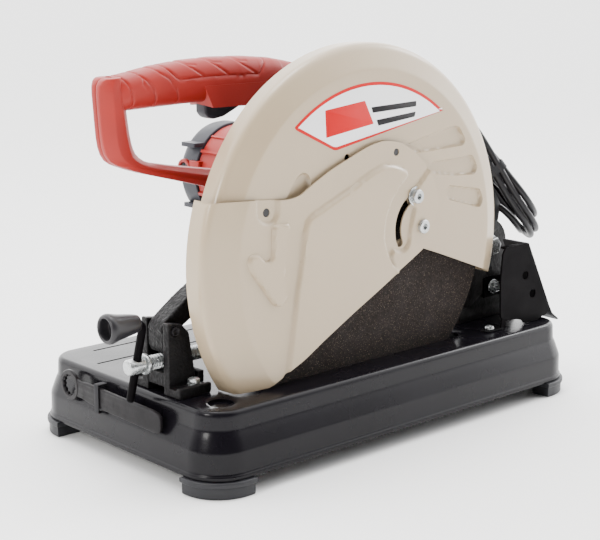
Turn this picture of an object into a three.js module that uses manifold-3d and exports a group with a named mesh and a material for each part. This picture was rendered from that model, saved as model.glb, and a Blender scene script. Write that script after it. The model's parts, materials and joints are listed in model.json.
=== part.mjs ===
// Abrasive chop saw for a 355 mm wheel: pressed base with screw vise, swinging arm with gear case,
// universal motor, D-handle, fixed and movable wheel guards.
// Millimetres, +Z up. X runs from the operator's side (-X) to the arm pivot (+X); the wheel lies in an XZ plane
// on the -Y side and the motor stands out on the +Y side. The saw stands on its four feet, arm lowered on its stop.
import * as THREE from "three";
import { mergeVertices } from "three/addons/utils/BufferGeometryUtils.js";
import Module from "manifold-3d";

const wasm = await Module();
wasm.setup();

// ---------------------------------------------------------------- driving dimensions
const ORIGIN_SHIFT = [21.5, 0, 0]; // design frame to part frame: origin below the middle of the saw's box

const BASE = { hx: 251.8, hy: 141.85, r: 38, bottom: 16.1, top: 76.5, wall: 3.5 };
const WHEEL = { x: -23.5, z: 194, r: 175, y0: -89.8, y1: -86.6 };
const GUARD = { x: -25.2, z: 189.8, r: 193, face: -103.8, flat: 172, rimBack: -75.2, sheet: 2 };
const FLAP = { r: 201.5, face: -108.5, flat: 166, shoulder: -101, rimBack: -76.2, sheet: 1.7, px: 38, pz: 203.5, slotR: 32 };
const PIVOT = { x: 193, z: 157, r: 28 };
const MOTOR = { x: -23.5, z: 240, r: 50, front: -21.5, seam: 112, end: 138 };
const GEAR = { wheelR: 37.3, pinionR: 8.1, teeth: 26, pinionTeeth: 6 };
const HANDLE = { half: 17, bar: 12 };
const VISE = { y: -42, z: 105, screwR: 7, x0: -236, x1: -206 };
const LOCK = { x: 146, z: 142 };
const FENCE = { x: 48, y: -40, reach: 99 };
const CRANK = { x: -258, r: 3.75, tilt: 0.29 };
const CORD = { d: 7.5, length: 2000 };

// ---------------------------------------------------------------- materials
const M = (color, roughness, metalness) => new THREE.MeshStandardMaterial({ color, roughness, metalness });
const mat = {
  basePaint: M(0x1c1b1f, 0.38, 0.1),
  blackPaint: M(0x17161a, 0.5, 0.15),
  castBlack: M(0x232226, 0.65, 0.2),
  beige: M(0xcfc5b4, 0.5, 0.1),
  abrasive: M(0x2a2220, 0.95, 0),
  zinc: M(0xc9ccd0, 0.3, 1),
  steel: M(0x9a9ca0, 0.35, 1),
  gearSteel: M(0x85878b, 0.4, 1),
  red: M(0x9e2d27, 0.5, 0),
  greyPlastic: M(0x4a4a50, 0.55, 0),
  blackPlastic: M(0x242428, 0.5, 0),
  rubber: M(0x1b1b1c, 0.8, 0),
  cord: M(0x232023, 0.6, 0),
  copper: M(0xb06a3c, 0.35, 1),
  lam: M(0x77787c, 0.5, 0.8),
};

// ---------------------------------------------------------------- solids by code
function solid(geometry) {
  const g = geometry.index ? geometry.toNonIndexed() : geometry.clone();
  for (const k of Object.keys(g.attributes)) if (k !== "position") g.deleteAttribute(k);
  const m = mergeVertices(g, 1e-4);
  const made = new wasm.Manifold(
    new wasm.Mesh({
      numProp: 3,
      vertProperties: new Float32Array(m.attributes.position.array),
      triVerts: new Uint32Array(m.index.array),
    }),
  );
  if (made.volume() < 0) throw new Error("a primitive is inside out");
  return made;
}
const add = (...s) => s.flat().reduce((a, b) => a.add(b));
const cut = (a, ...s) => s.flat().reduce((p, q) => p.subtract(q), a);
const both = (a, b) => a.intersect(b);

function shapeOf(points, holes = []) {
  const s = new THREE.Shape(points.map(([x, y]) => new THREE.Vector2(x, y)));
  for (const h of holes) s.holes.push(new THREE.Path(h.map(([x, y]) => new THREE.Vector2(x, y))));
  return s;
}
function extruded(points, depth, holes) {
  return new THREE.ExtrudeGeometry(shapeOf(points, holes), { depth, bevelEnabled: false, curveSegments: 8 });
}
// outline in XY, standing from z0 to z1
const prismXY = (pts, z0, z1, holes) => solid(extruded(pts, z1 - z0, holes).translate(0, 0, z0));
// outline in XZ, from y0 to y1
const prismXZ = (pts, y0, y1, holes) => solid(extruded(pts, y1 - y0, holes).rotateX(Math.PI / 2).translate(0, y1, 0));
// outline in YZ, from x0 to x1
const YZX = new THREE.Matrix4().makeBasis(new THREE.Vector3(0, 1, 0), new THREE.Vector3(0, 0, 1), new THREE.Vector3(1, 0, 0));
const prismYZ = (pts, x0, x1, holes) => solid(extruded(pts, x1 - x0, holes).applyMatrix4(YZX).translate(x0, 0, 0));
const block = (x0, x1, y0, y1, z0, z1) =>
  solid(new THREE.BoxGeometry(x1 - x0, y1 - y0, z1 - z0).translate((x0 + x1) / 2, (y0 + y1) / 2, (z0 + z1) / 2));
const cylY = (r, x, z, y0, y1, n = 32, r2 = r) =>
  solid(new THREE.CylinderGeometry(r2, r, y1 - y0, n).translate(x, (y0 + y1) / 2, z));
const cylX = (r, y, z, x0, x1, n = 24, r2 = r) =>
  solid(new THREE.CylinderGeometry(r2, r, x1 - x0, n).rotateZ(-Math.PI / 2).translate((x0 + x1) / 2, y, z));
const cylZ = (r, x, y, z0, z1, n = 24, r2 = r) =>
  solid(new THREE.CylinderGeometry(r2, r, z1 - z0, n).rotateX(Math.PI / 2).translate(x, y, (z0 + z1) / 2));
// profile [radius, y] turned about the Y line through (x, z); closed when it doesn't start and end on the axis
function turnedY(profile, x, z, n = 48) {
  const p = profile.map(([r, y]) => new THREE.Vector2(r, y));
  if (profile[0][0] > 1e-6) p.push(p[0].clone());
  let g = new THREE.LatheGeometry(p, n);
  let m;
  try {
    m = solid(g.clone().translate(x, 0, z));
  } catch {
    g = new THREE.LatheGeometry(p.reverse(), n);
    m = solid(g.translate(x, 0, z));
  }
  return m;
}
const ringY = (ro, ri, x, z, y0, y1, n = 32) => turnedY([[ri, y0], [ro, y0], [ro, y1], [ri, y1]], x, z, n);
const arc = (cx, cz, r, a0, a1, n) =>
  Array.from({ length: n + 1 }, (_, i) => {
    const a = ((a0 + ((a1 - a0) * i) / n) * Math.PI) / 180;
    return [cx + r * Math.cos(a), cz + r * Math.sin(a)];
  });
const rounded = (cx, cy, w, h, r, n = 4) => [
  ...arc(cx + w / 2 - r, cy - h / 2 + r, r, -90, 0, n),
  ...arc(cx + w / 2 - r, cy + h / 2 - r, r, 0, 90, n),
  ...arc(cx - w / 2 + r, cy + h / 2 - r, r, 90, 180, n),
  ...arc(cx - w / 2 + r, cy - h / 2 + r, r, 180, 270, n),
];
const stadium = (x0, y0, x1, y1, r, n = 8) => {
  const a = (Math.atan2(y1 - y0, x1 - x0) * 180) / Math.PI;
  return [...arc(x1, y1, r, a - 90, a + 90, n), ...arc(x0, y0, r, a + 90, a + 270, n)];
};
// stack of rounded rectangles [z, hx, hy, r], closed top and bottom
function stacked(levels, n = 6) {
  const rings = levels.map(([z, hx, hy, r]) => rounded(0, 0, 2 * hx, 2 * hy, r, n).map(([x, y]) => [x, y, z]));
  const k = rings[0].length, pos = [], tri = [];
  for (const ring of rings) for (const p of ring) pos.push(...p);
  for (let i = 0; i + 1 < rings.length; i++)
    for (let j = 0; j < k; j++) {
      const a = i * k + j, b = i * k + ((j + 1) % k), c = a + k, d = b + k;
      tri.push(a, b, d, a, d, c);
    }
  for (let j = 1; j + 1 < k; j++) tri.push(0, j + 1, j);
  const t = (rings.length - 1) * k;
  for (let j = 1; j + 1 < k; j++) tri.push(t, t + j, t + j + 1);
  const g = new THREE.BufferGeometry();
  g.setAttribute("position", new THREE.Float32BufferAttribute(pos, 3));
  g.setIndex(tri);
  return solid(g);
}
const hexY = (af, x, z, y0, y1) => cylY(af / Math.sqrt(3), x, z, y0, y1, 6);
const hexZ = (af, x, y, z0, z1) => cylZ(af / Math.sqrt(3), x, y, z0, z1, 6);
const toothed = (ro, rr, teeth) => {
  const pts = [];
  for (let i = 0; i < teeth; i++)
    for (const [f, r] of [[0, rr], [0.25, ro], [0.5, ro], [0.75, rr]]) {
      const a = ((i + f) / teeth) * 2 * Math.PI;
      pts.push([r * Math.cos(a), r * Math.sin(a)]);
    }
  return pts;
};
// tube of a round section along a line of points
function tube(points, d, sides, steps) {
  const curve = new THREE.CatmullRomCurve3(points.map((p) => new THREE.Vector3(...p)), false, "centripetal");
  const s = new THREE.Shape(arc(0, 0, d / 2, 0, 360, sides).slice(0, -1).map(([x, y]) => new THREE.Vector2(x, y)));
  return solid(new THREE.ExtrudeGeometry(s, { steps, bevelEnabled: false, extrudePath: curve }));
}

const saw = new THREE.Group();
saw.position.set(...ORIGIN_SHIFT);
function put(parent, name, shape, material) {
  const m = shape.getMesh(), v = new Float32Array(m.numVert * 3);
  for (let i = 0; i < m.numVert; i++) v.set(m.vertProperties.subarray(i * m.numProp, i * m.numProp + 3), i * 3);
  const g = new THREE.BufferGeometry();
  g.setAttribute("position", new THREE.BufferAttribute(v, 3));
  g.setIndex(new THREE.BufferAttribute(new Uint32Array(m.triVerts), 1));
  g.computeVertexNormals();
  const mesh = new THREE.Mesh(g, material);
  mesh.name = name;
  parent.add(mesh);
  return mesh;
}

// ================================================================ base
const base = new THREE.Group();
saw.add(base);
{
  const { hx, hy, r, bottom, top, wall } = BASE;
  const lv = (z, inset, k = 0) => [z, hx - inset, hy - inset, Math.max(6, r - inset - k)];
  const outer = stacked([
    lv(bottom, 0), lv(19.6, 0), lv(20.6, 1.3), lv(40, 1.7), lv(57, 8.8),
    lv(71.8, 9.3), lv(top, 12.4),
  ], 5);
  const inner = stacked([
    lv(bottom - 2, wall), lv(40, wall + 1.7), lv(57, wall + 8.8), lv(73.2, wall + 10),
  ], 5);
  const hollow = cut(outer, inner);
  const w = WHEEL;
  const slot = prismXY(stadium(-158, -88.2, 112, -88.2, 7.5, 6), 60, 90);
  // the work fence's clamp bolt travels in an arc round its pivot bolt
  const fenceSlot = prismXY([...arc(FENCE.x, FENCE.y, FENCE.reach + 5.4, 94, 41, 8), ...arc(FENCE.x, FENCE.y, FENCE.reach - 5.4, 41, 94, 8)].reverse(), 60, 90);
  const jawWay = prismXY(stadium(-212, -104.5, -212, -104.4, 12, 6), 60, 90);
  const grooveA = block(-201, 110, 108.8, 111.2, top - 1.2, 90);
  const grooveB = block(-224, 110, 67.8, 70.2, top - 1.2, 90);
  // four bosses under the corners, where the feet are held
  const bosses = [[-1, -1], [-1, 1], [1, -1], [1, 1]].map(([sx, sy]) => cylZ(13, sx * 212, sy * 103, bottom, 74, 10));
  const ribs = [block(-120, -114, -141 + 12, 141 - 12, 30, 74), block(140, 146, -72, 129, 30, 74)];
  const ribsTrim = both(add(...ribs), outer);
  const shape = cut(add(hollow, ...bosses, cut(ribsTrim, block(-300, 300, -105, -72, 0, 90))), slot, jawWay, grooveA, grooveB, fenceSlot, cylZ(5.2, FENCE.x, FENCE.y, 60, 90, 12));
  put(base, "base_casting", shape, mat.basePaint);

  const foot = (sx, sy) => {
    const o = 3, R = r + o, X = hx + o, Y = hy + o;
    const pts = [[X, Y - 47], ...arc(X - R, Y - R, R, 0, 90, 6), [X - 51, Y], [X - 51, Y - 24], [X - 28, Y - 47]];
    const m = cut(prismXY(pts, 0, 15.8), prismXY(pts.map(([a, b]) => [X - 26 + (a - X + 26) * 0.6, Y - 24 + (b - Y + 24) * 0.6]), -1, 3));
    return m.transform([sx, 0, 0, 0, 0, sy, 0, 0, 0, 0, 1, 0, 0, 0, 0, 1]);
  };
  put(base, "foot_front_right", foot(-1, -1), mat.rubber);
  put(base, "foot_front_left", foot(-1, 1), mat.rubber);
  put(base, "foot_rear_right", foot(1, -1), mat.rubber);
  put(base, "foot_rear_left", foot(1, 1), mat.rubber);
}

// ================================================================ vise
{
  const { y, z, x0, x1, screwR } = VISE, t = BASE.top + 0.3;
  const ear = (ya, yb) => prismXZ([[x0, t], [-196, t], [-196, 84], [-208, 108], [-214, 131], [-222, 143], [x0 + 3, 143], [x0, 140]], ya, yb);
  const footPlate = prismXY(rounded(-216, y, 52, 64.6, 5), t, 84.4);
  const back = block(-204, -197, y - 20, y + 20, 84, 94);
  const nut = add(prismXZ([[x0, 84], [-200, 84], [-203, 96.5], [x0, 96.5]], y - 12.5, y + 12.5));
  let bracket = add(footPlate, ear(y - 20, y - 12), ear(y + 12, y + 20), back, nut);
  bracket = cut(bracket, cylX(screwR + 0.6, y, z, -250, -180, 20), cylY(4.3, -229, 135.5, y - 30, y + 30, 16),
    cylZ(4.4, -214, y - 26.4, 70, 100, 12), cylZ(4.4, -214, y + 26.4, 70, 100, 12), block(-231, -222, y - 8, y + 8, 70, 90));
  put(base, "vise_bracket", bracket, mat.castBlack);
  for (const [nm, s] of [["vise_bolt_right", -1], ["vise_bolt_left", 1]])
    put(base, nm, add(cylZ(6, -214, y + s * 26.4, 84.8, 86.2, 16), hexZ(9.5, -214, y + s * 26.4, 86, 91), cylZ(3.8, -214, y + s * 26.4, 77.2, 85, 12)), mat.zinc);
  put(base, "lever_pin", add(cylY(3.9, -229, 135.5, y - 21.5, y + 21.5, 16), cylY(5.6, -229, 135.5, y + 20.4, y + 23, 16)), mat.steel);

  const viseMove = new THREE.Group();
  base.add(viseMove);
  // coarse thread, solid at its outer diameter
  const prof = [[0, -268], [6.2, -268], [7.2, -266.6], [7.2, -250.6], [9.4, -249.8], [9.4, -246.4]];
  prof.push([screwR - 0.2, -245.6], [screwR - 0.2, -108], [5, -107], [5, -93.6], [0, -93.6]);
  const g = new THREE.LatheGeometry(prof.map(([a, b]) => new THREE.Vector2(a, b)), 16).rotateZ(-Math.PI / 2).translate(0, y, z);
  let screw = solid(g);
  const rodHole = () => {
    const c = new THREE.CylinderGeometry(CRANK.r + 0.35, CRANK.r + 0.35, 40, 16).rotateX(Math.PI / 2);
    c.rotateX(CRANK.tilt).translate(CRANK.x, y, z);
    return solid(c);
  };
  put(viseMove, "vise_screw", cut(screw, rodHole()), mat.zinc);
  // crank rod: lower stub, through the screw head, up and bent forward as the knob's axle
  const up = [0, -Math.sin(CRANK.tilt), Math.cos(CRANK.tilt)];
  const at = (s, dx = 0) => [CRANK.x + dx, y + up[1] * s, z + up[2] * s];
  const rodPts = [at(-37), at(-12), at(12), at(32), at(38.5, -0.4), at(42.6, -2.6), at(44.6, -6.6), at(45, -12), at(45, -24), at(45, -38)];
  put(viseMove, "crank_rod", tube(rodPts, 2 * CRANK.r, 8, 18), mat.blackPaint);
  const [kx, ky, kz] = at(45);
  // the small end is countersunk for the bend of the rod
  const knobProf = [[5.9, 0], [7.4, 0], [8.8, 2.6], [11.3, 25], [13, 31], [13.5, 35], [12.6, 39.6], [10.6, 40.8], [9.6, 39], [8.8, 30], [4.3, 29], [4.3, 6]];
  const kp = [...knobProf, knobProf[0]].map(([p, q]) => new THREE.Vector2(p, q));
  const turnKnob = (pts) => solid(new THREE.LatheGeometry(pts, 16).rotateZ(Math.PI / 2).translate(kx - 6.2, ky, kz));
  let knob;
  try { knob = turnKnob(kp); } catch { knob = turnKnob(kp.slice().reverse()); }
  put(viseMove, "crank_knob", knob, mat.blackPlastic);
  // jaw: upright plate with a boss that takes the end of the screw
  const jaw = cut(add(prismYZ([[y - 42, BASE.top + 0.6], [y + 42, BASE.top + 0.6], [y + 42, 118], [y + 36, 126], [y - 30, 126], [y - 30, 112], [y - 42, 106]].map(([a, b]) => [Math.max(a, -72), b]), -93, -85),
    cylX(12, y, z, -105, -92, 20), block(-104, -92, y - 30, y + 34, BASE.top + 0.6, 84)), cylX(5.5, y, z, -120, -93.2, 20));
  put(base, "vise_jaw", jaw, mat.castBlack);
  // quick release lever: half nut between the ears, diagonal arm to a thumb end
  const L = (s, n) => { const a = 0.585; return [-229 + s * Math.cos(a) - n * Math.sin(a), 135.5 + s * Math.sin(a) + n * Math.cos(a)]; };
  const arm = prismXZ([L(-4, -8), L(34, -9.5), L(52, -8), L(64, -4), L(66, 2), L(60, 8), L(30, 9.5), L(0, 8.4), L(-7, 5), L(-8, -2)], y - 10.5, y + 10.5);
  const halfNut = prismXZ([[-236, 134], [-222, 131], [-212, 118], [-210, 113.4], [-233.5, 113.4], [-236, 120]], y - 11.2, y + 11.2);
  put(base, "release_lever", cut(add(arm, halfNut), cylY(4.25, -229, 135.5, y - 30, y + 30, 16), cylX(screwR + 0.5, y, z, -260, -180, 20)), mat.castBlack);
}

// ================================================================ work fence
{
  const t = BASE.top + 0.3;
  const plate = add(block(26, 34, -66, 104, t, 118), block(26, 62, -66, 104, t, 83),
    prismXZ([[33, 82], [58, 82], [33, 110]], -66, -60), prismXZ([[33, 82], [58, 82], [33, 110]], 98, 104));
  put(base, "fence_plate", cut(plate, cylZ(5.2, FENCE.x, FENCE.y, 70, 90, 12), cylZ(5.2, FENCE.x, FENCE.y + FENCE.reach, 70, 90, 12)), mat.castBlack);
  // bolts through the base, each with its nut underneath
  for (const [nm, yy] of [["fence_bolt_pivot", FENCE.y], ["fence_bolt_lock", FENCE.y + FENCE.reach]])
    put(base, nm, add(cylZ(9, FENCE.x, yy, 83.4, 85.4, 16), hexZ(15, FENCE.x, yy, 85.2, 92), cylZ(4.8, FENCE.x, yy, 64, 84, 12), hexZ(15, FENCE.x, yy, 65.8, 72.8)), mat.zinc);
}

// ================================================================ wrench and its clip on the front
{
  const ring = [[75.5, 59.5]];
  const wx0 = -253.5, wx1 = -250.2;
  let wr = add(prismYZ(arc(75.5, 59.5, 15, 0, 360, 24).slice(0, -1), wx0, wx1),
    prismYZ([[66, 51], [66, 68], [52, 66], [40, 67.6], [-58, 66.6], [-66, 65.4], [-70, 62], [-70, 50.5], [-67, 47], [-60, 46], [20, 47.6], [42, 49], [52, 52.4]], wx0, wx1));
  wr = cut(wr, prismYZ(toothed(10.2, 8.9, 12).map(([a, b]) => [a + 75.5, b + 59.5]), wx0 - 1, wx1 + 1));
  put(base, "wrench", wr, mat.steel);
  const clip = add(block(-249.9, -244.4, 24.5, 31.5, 69.3, 71.2), block(-254.6, -249.7, 24.5, 31.5, 69.3, 71.2), block(-255.0, -253.85, 24.5, 31.5, 43.5, 71.2), block(-255.0, -250.4, 24.5, 31.5, 43.2, 44.8));
  put(base, "wrench_clip", clip, mat.blackPaint);
}

// ================================================================ pivot pedestal, shaft, spring, stop, lock pin
{
  const { x, z, r } = PIVOT, t = BASE.top + 0.3;
  const lug = (ya, yb) => prismXZ([[158, t], [238, t], [236, 92], [223, 128], ...arc(x, z, r, 0, 180, 12), [165, 128], [162, 92]], ya, yb);
  const foot = prismXZ([[146, t], [240, t], [240, 88], [236, 92], [150, 92], [146, 88]], -66, 22);
  const web = prismXZ([[214, 90], [234, 90], [228, 116], [222, 122], [214, 122]], -66, 22);
  let ped = add(foot, lug(-66, -52), lug(8, 22), web);
  // upright that carries the transport lock pin beside the arm
  ped = add(ped, prismXZ([[136, t], [164, t], [156, 142], ...arc(LOCK.x, LOCK.z, 10, 0, 180, 8)], -19, -7));
  ped = cut(ped, cylY(9.4, x, z, -80, 40, 20), cylZ(5.4, 155, -36.5, 70, 100, 12), cylY(4.5, 197.6, 111, -70, -45, 12), cylY(5.4, LOCK.x, LOCK.z, -30, 10, 12));
  put(base, "pivot_pedestal", ped, mat.castBlack);
  put(base, "pivot_shaft", add(cylY(9, x, z, -67, 27, 16), cylY(11.5, x, z, -68.2, -66.4, 16), hexY(17, x, z, -75, -68), cylY(11.5, x, z, 22.4, 24.4, 16), hexY(17, x, z, 24.2, 32)), mat.zinc);
  put(base, "arm_spring", cut(add(ringY(21, 13, x, z, -20.6, 6.6, 20), block(x + 12, x + 36, 2.6, 6.4, z - 22, z - 17)), block(x + 12, x + 60, 0, 8, z - 60, z - 34)), mat.steel);
  put(base, "depth_stop_bolt", add(cylZ(5, 155, -36.5, 77, 124, 12), hexZ(15, 155, -36.5, 122, 128.4)), mat.zinc);
  put(base, "depth_stop_nut", cut(hexZ(16, 155, -36.5, 92.4, 99), cylZ(5.3, 155, -36.5, 90, 101, 16)), mat.zinc);
  put(base, "lock_pin", add(cylY(5, LOCK.x, LOCK.z, -20.4, 4, 12), cylY(9, LOCK.x, LOCK.z, 3.4, 13, 16)), mat.zinc);
}

// ================================================================ spark deflector behind the wheel
{
  const near = prismXZ([[160, 94], [158.6, 131], [161, 160], [165, 164.6], [203, 164.6], [243, 85.6], [264, 72.6 + 6.2], [252, 78.9], [236, 78.9], [226, 78.4], [199, 78.4], [190, 84.4], [167, 87.4], [161, 90]].filter((p, i) => i !== 6 && i !== 7), -112, -110);
  // rear plate: from the near plate's slanted edge across behind the wheel
  const at = (z) => 203.6 + ((164.6 - z) * 58.4) / 85.6;
  const slant = (za, zb, ya, yb) => prismXZ([[at(za) - 2.3, za], [at(za), za], [at(zb), zb], [at(zb) - 2.3, zb]].reverse(), ya, yb);
  const rear = add(slant(164.6, 79, -112, -77), slant(122, 100, -112, -66.4));
  const top = prismXZ([[165, 162.8], [203, 162.8], [203, 164.6], [165, 164.6]], -112, -104.5);
  const tab = prismXZ([[184, 100], [at(100) - 1, 100], [at(122) - 1, 122], [184, 122]], -68.4, -66.4);
  const footTab = add(block(140, 168, -111.8, -100, BASE.top + 0.3, 78.6), prismXZ([[158, 77], [176, 77], [176, 92], [164, 92]], -112, -110));
  let d = add(near, rear, top, tab, footTab);
  d = cut(d, cylY(4.6, 199.2, 130.1, -120, -105, 16), cylY(4.8, 212.3, 108.3, -120, -105, 16), cylY(4.6, 197.6, 111, -75, -60, 16), cylZ(4.4, 150, -105.6, 70, 90, 12));
  put(base, "spark_deflector", d, mat.blackPaint);
  put(base, "deflector_bolt", add(hexY(11, 197.6, 111, -75, -70), cylY(7.5, 197.6, 111, -70.2, -68.8, 20), cylY(4, 197.6, 111, -69, -46, 16)), mat.zinc);
  put(base, "deflector_screw", add(cylZ(4.9, 150, -105.6, 79, 82.4, 16), cylZ(3.8, 150, -105.6, 77, 79.2, 12)), mat.zinc);
}

// ================================================================ swinging arm
const arm = new THREE.Group();
saw.add(arm);
{
  const W = WHEEL, P = PIVOT, Mo = MOTOR;
  // gear case round both shafts, and the arm to the pivot boss
  const caseOutline = [
    ...arc(W.x, W.z, 52, 180, 300, 8), [20, 146], [60, 133], [120, 129.6], [P.x - 6, 129.4],
    ...arc(P.x, P.z, P.r, 270, 365, 8), [228, 196], [222, 206], [150, 287], [144, 290], [34, 290],
    ...arc(Mo.x, Mo.z, 54, 42, 150, 8), [W.x - 54, 236],
  ];
  let casting = prismXZ(caseOutline, -51, -22);
  const nose = add(prismXZ([...arc(W.x, W.z, 48, 175, 365, 11), ...arc(Mo.x, Mo.z, 48, 5, 175, 10)], -71.5, -50));
  const armWindow = prismXZ([[52, 262], [52, 168], [70, 156], [150, 152], [158, 166], [158, 214], [118, 262]].map(([a, b]) => [a, b]), -60, -44);
  const armWindowBack = prismXZ([[52, 262], [52, 168], [70, 156], [150, 152], [158, 166], [158, 214], [118, 262]], -30, -10);
  const gearRoom = add(cylY(40, W.x, W.z, -60, -34, 28), cylY(18, Mo.x, Mo.z, -60, -34, 18), block(Mo.x - 14, Mo.x + 14, -60, -34, 200, 240));
  const spindleHole = cylY(14.2, W.x, W.z, -80, -25, 20);
  const outBearing = cylY(18.4, W.x, W.z, -80, -59, 20);
  const inBearing = cylY(11.4, W.x, W.z, -34.5, -25, 16);
  const motorHole = cylY(16.4, Mo.x, Mo.z, -35, -10, 20);
  const cavity = cylY(45, Mo.x, Mo.z, -26, -10, 28);
  casting = cut(add(casting, nose), armWindow, armWindowBack, gearRoom, spindleHole, outBearing, inBearing, motorHole, cavity,
    cylY(9.5, P.x, P.z, -80, 40, 16), cylX(6.6, -42.5, 194, -90, -60, 12), cylX(3.2, -42.5, 194, -90, -30, 10), cylY(5.6, LOCK.x, LOCK.z, -32, -10, 12));
  put(arm, "arm_casting", casting, mat.castBlack);

  // gearing
  put(arm, "spindle", add(cylY(8.5, W.x, W.z, -99, -82, 16), cylY(10, W.x, W.z, -82.6, -30, 16), cylY(12, W.x, W.z, -79.6, -59, 16), cylY(6, W.x, W.z, -31, -27, 12)), mat.steel);
  put(arm, "spindle_gear", cut(prismXZ(toothed(GEAR.wheelR, GEAR.wheelR - 2, GEAR.teeth).map(([a, b]) => [a + W.x, b + W.z]), -50, -38), cylY(10.3, W.x, W.z, -60, -30, 16)), mat.gearSteel);
  put(arm, "spindle_bearing_front", ringY(17.9, 12.4, W.x, W.z, -71, -59.6, 20), mat.steel);
  put(arm, "spindle_bearing_rear", ringY(11, 6.4, W.x, W.z, -29.8, -25.6, 16), mat.steel);
  put(arm, "inner_flange", turnedY([[8.9, -89.7], [12.4, -89.7], [12.4, -86.3], [36, -86.3], [36, -83], [20, -83], [20, -80], [10.5, -80], [10.5, -83], [8.9, -83.2]], W.x, W.z, 22), mat.steel);
  put(arm, "abrasive_wheel", ringY(W.r, 13, W.x, W.z, W.y0, W.y1, 48), mat.abrasive);
  put(arm, "outer_flange", turnedY([[8.9, -95], [14, -95], [30, -93.4], [36, -92.4], [36, -90.1], [8.9, -90.1]], W.x, W.z, 22), mat.steel);
  put(arm, "wheel_bolt", add(hexY(15, W.x, W.z, -101.2, -99.2), cylY(11, W.x, W.z, -99.4, -95.3, 16)).subtract(cylY(8.9, W.x, W.z, -99.1, -80, 16)), mat.zinc);

  // motor
  put(arm, "armature_shaft", add(cylY(5, Mo.x, Mo.z, -36, 126, 12), prismXZ(toothed(GEAR.pinionR, GEAR.pinionR - 1.4, GEAR.pinionTeeth).map(([a, b]) => [a + Mo.x, b + Mo.z]), -50, -35.6)), mat.steel);
  put(arm, "armature_bearing_front", ringY(15.9, 5.4, Mo.x, Mo.z, -33.6, -26.4, 16), mat.steel);
  put(arm, "cooling_fan", cut(add(ringY(18, 5.3, Mo.x, Mo.z, -12, 0, 16), cylY(42, Mo.x, Mo.z, -3, 0, 24), ...Array.from({ length: 8 }, (_, i) => {
    const a = (i * 45 * Math.PI) / 180, c = Math.cos(a), s = Math.sin(a);
    return prismXZ([[16, -1], [41, -1], [41, 1], [16, 1]].map(([u, v]) => [Mo.x + u * c - v * s, Mo.z + u * s + v * c]), -12, -2);
  })), cylY(5.4, Mo.x, Mo.z, -20, 10, 12)), mat.blackPlastic);
  put(arm, "armature_core", turnedY([[5.4, 4], [20, 4], [20, 14], [24, 14], [24, 66], [20, 66], [20, 76], [15, 76], [15, 98], [5.4, 98]], Mo.x, Mo.z, 20), mat.copper);
  put(arm, "stator", ringY(44.5, 25.4, Mo.x, Mo.z, 12, 68, 28), mat.lam);
  const ribs = [150, 195, 222, 30, -20].map((a) => {
    const c = Math.cos((a * Math.PI) / 180), s = Math.sin((a * Math.PI) / 180);
    return prismXZ([[47, -1.8], [52, -1.2], [52, 1.2], [47, 1.8]].map(([u, v]) => [Mo.x + u * c - v * s, Mo.z + u * s + v * c]), -4, 111);
  });
  const brushBoss = (s) => add(cylX(10.5, 121, 246, s > 0 ? Mo.x + 40 : Mo.x - 53.5, s > 0 ? Mo.x + 53.5 : Mo.x - 40, 12), block(s > 0 ? Mo.x + 46 : Mo.x - 53, s > 0 ? Mo.x + 53 : Mo.x - 46, 100, 121, 235.5, 256.5));
  const brushHole = (s) => cylX(7.2, 121, 246, s > 0 ? Mo.x + 30 : Mo.x - 60, s > 0 ? Mo.x + 60 : Mo.x - 30, 12);
  let housing = add(ringY(Mo.r, 46.5, Mo.x, Mo.z, Mo.front, Mo.seam - 0.3, 30), ringY(54, 46.5, Mo.x, Mo.z, Mo.front, -8, 30), ...ribs, brushBoss(-1), brushBoss(1));
  housing = cut(housing, brushHole(-1), brushHole(1), cylY(46.5, Mo.x, Mo.z, -10, 99, 30));
  put(arm, "motor_housing", housing, mat.red);
  const capRoom = (s) => block(s > 0 ? Mo.x + 37.6 : Mo.x - 54, s > 0 ? Mo.x + 54 : Mo.x - 37.6, 99, 131.9, 235.1, 256.9);
  let cap = turnedY([[0, 134], [34, 134], [42, 131], [45.5, 124], [45.5, Mo.seam + 0.2], [50, Mo.seam + 0.2], [50, 122], [46.4, 132], [38, 137], [30, 138], [0, 138]], Mo.x, Mo.z, 28);
  const fin = (px, pz, w) => prismXZ([[px - w, pz - 3], [px, pz - 3], [px, pz + 3], [px - w, pz + 3]], Mo.seam + 0.3, 124);
  cap = add(cap, cut(add(fin(-58, 276, 14), fin(-60, 212, 14), fin(25, 276, 14), fin(28, 212, 14)), cylY(46, Mo.x, Mo.z, 100, 130, 36)));
  cap = cut(cap, capRoom(-1), capRoom(1), ...[-20, -7, 6, 19].map((dz) => block(Mo.x - 20, Mo.x + 20, 133, 140, Mo.z + dz - 1.8, Mo.z + dz + 1.8)));
  put(arm, "motor_end_cap", cap, mat.greyPlastic);
  put(arm, "brush_cap_front", cut(cylX(6.8, 121, 246, Mo.x - 52, Mo.x - 38, 12), block(Mo.x - 53, Mo.x - 50.6, 120.2, 121.8, 230, 260)), mat.blackPlastic);
  put(arm, "brush_cap_rear", cut(cylX(6.8, 121, 246, Mo.x + 38, Mo.x + 52, 12), block(Mo.x + 50.6, Mo.x + 53, 120.2, 121.8, 230, 260)), mat.blackPlastic);
  put(arm, "spindle_lock_button", add(cylX(6.2, -42.5, 194, -81, -68.6, 12), cylX(2.8, -42.5, 194, -69, -65.2, 10)), mat.blackPlastic);

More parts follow.
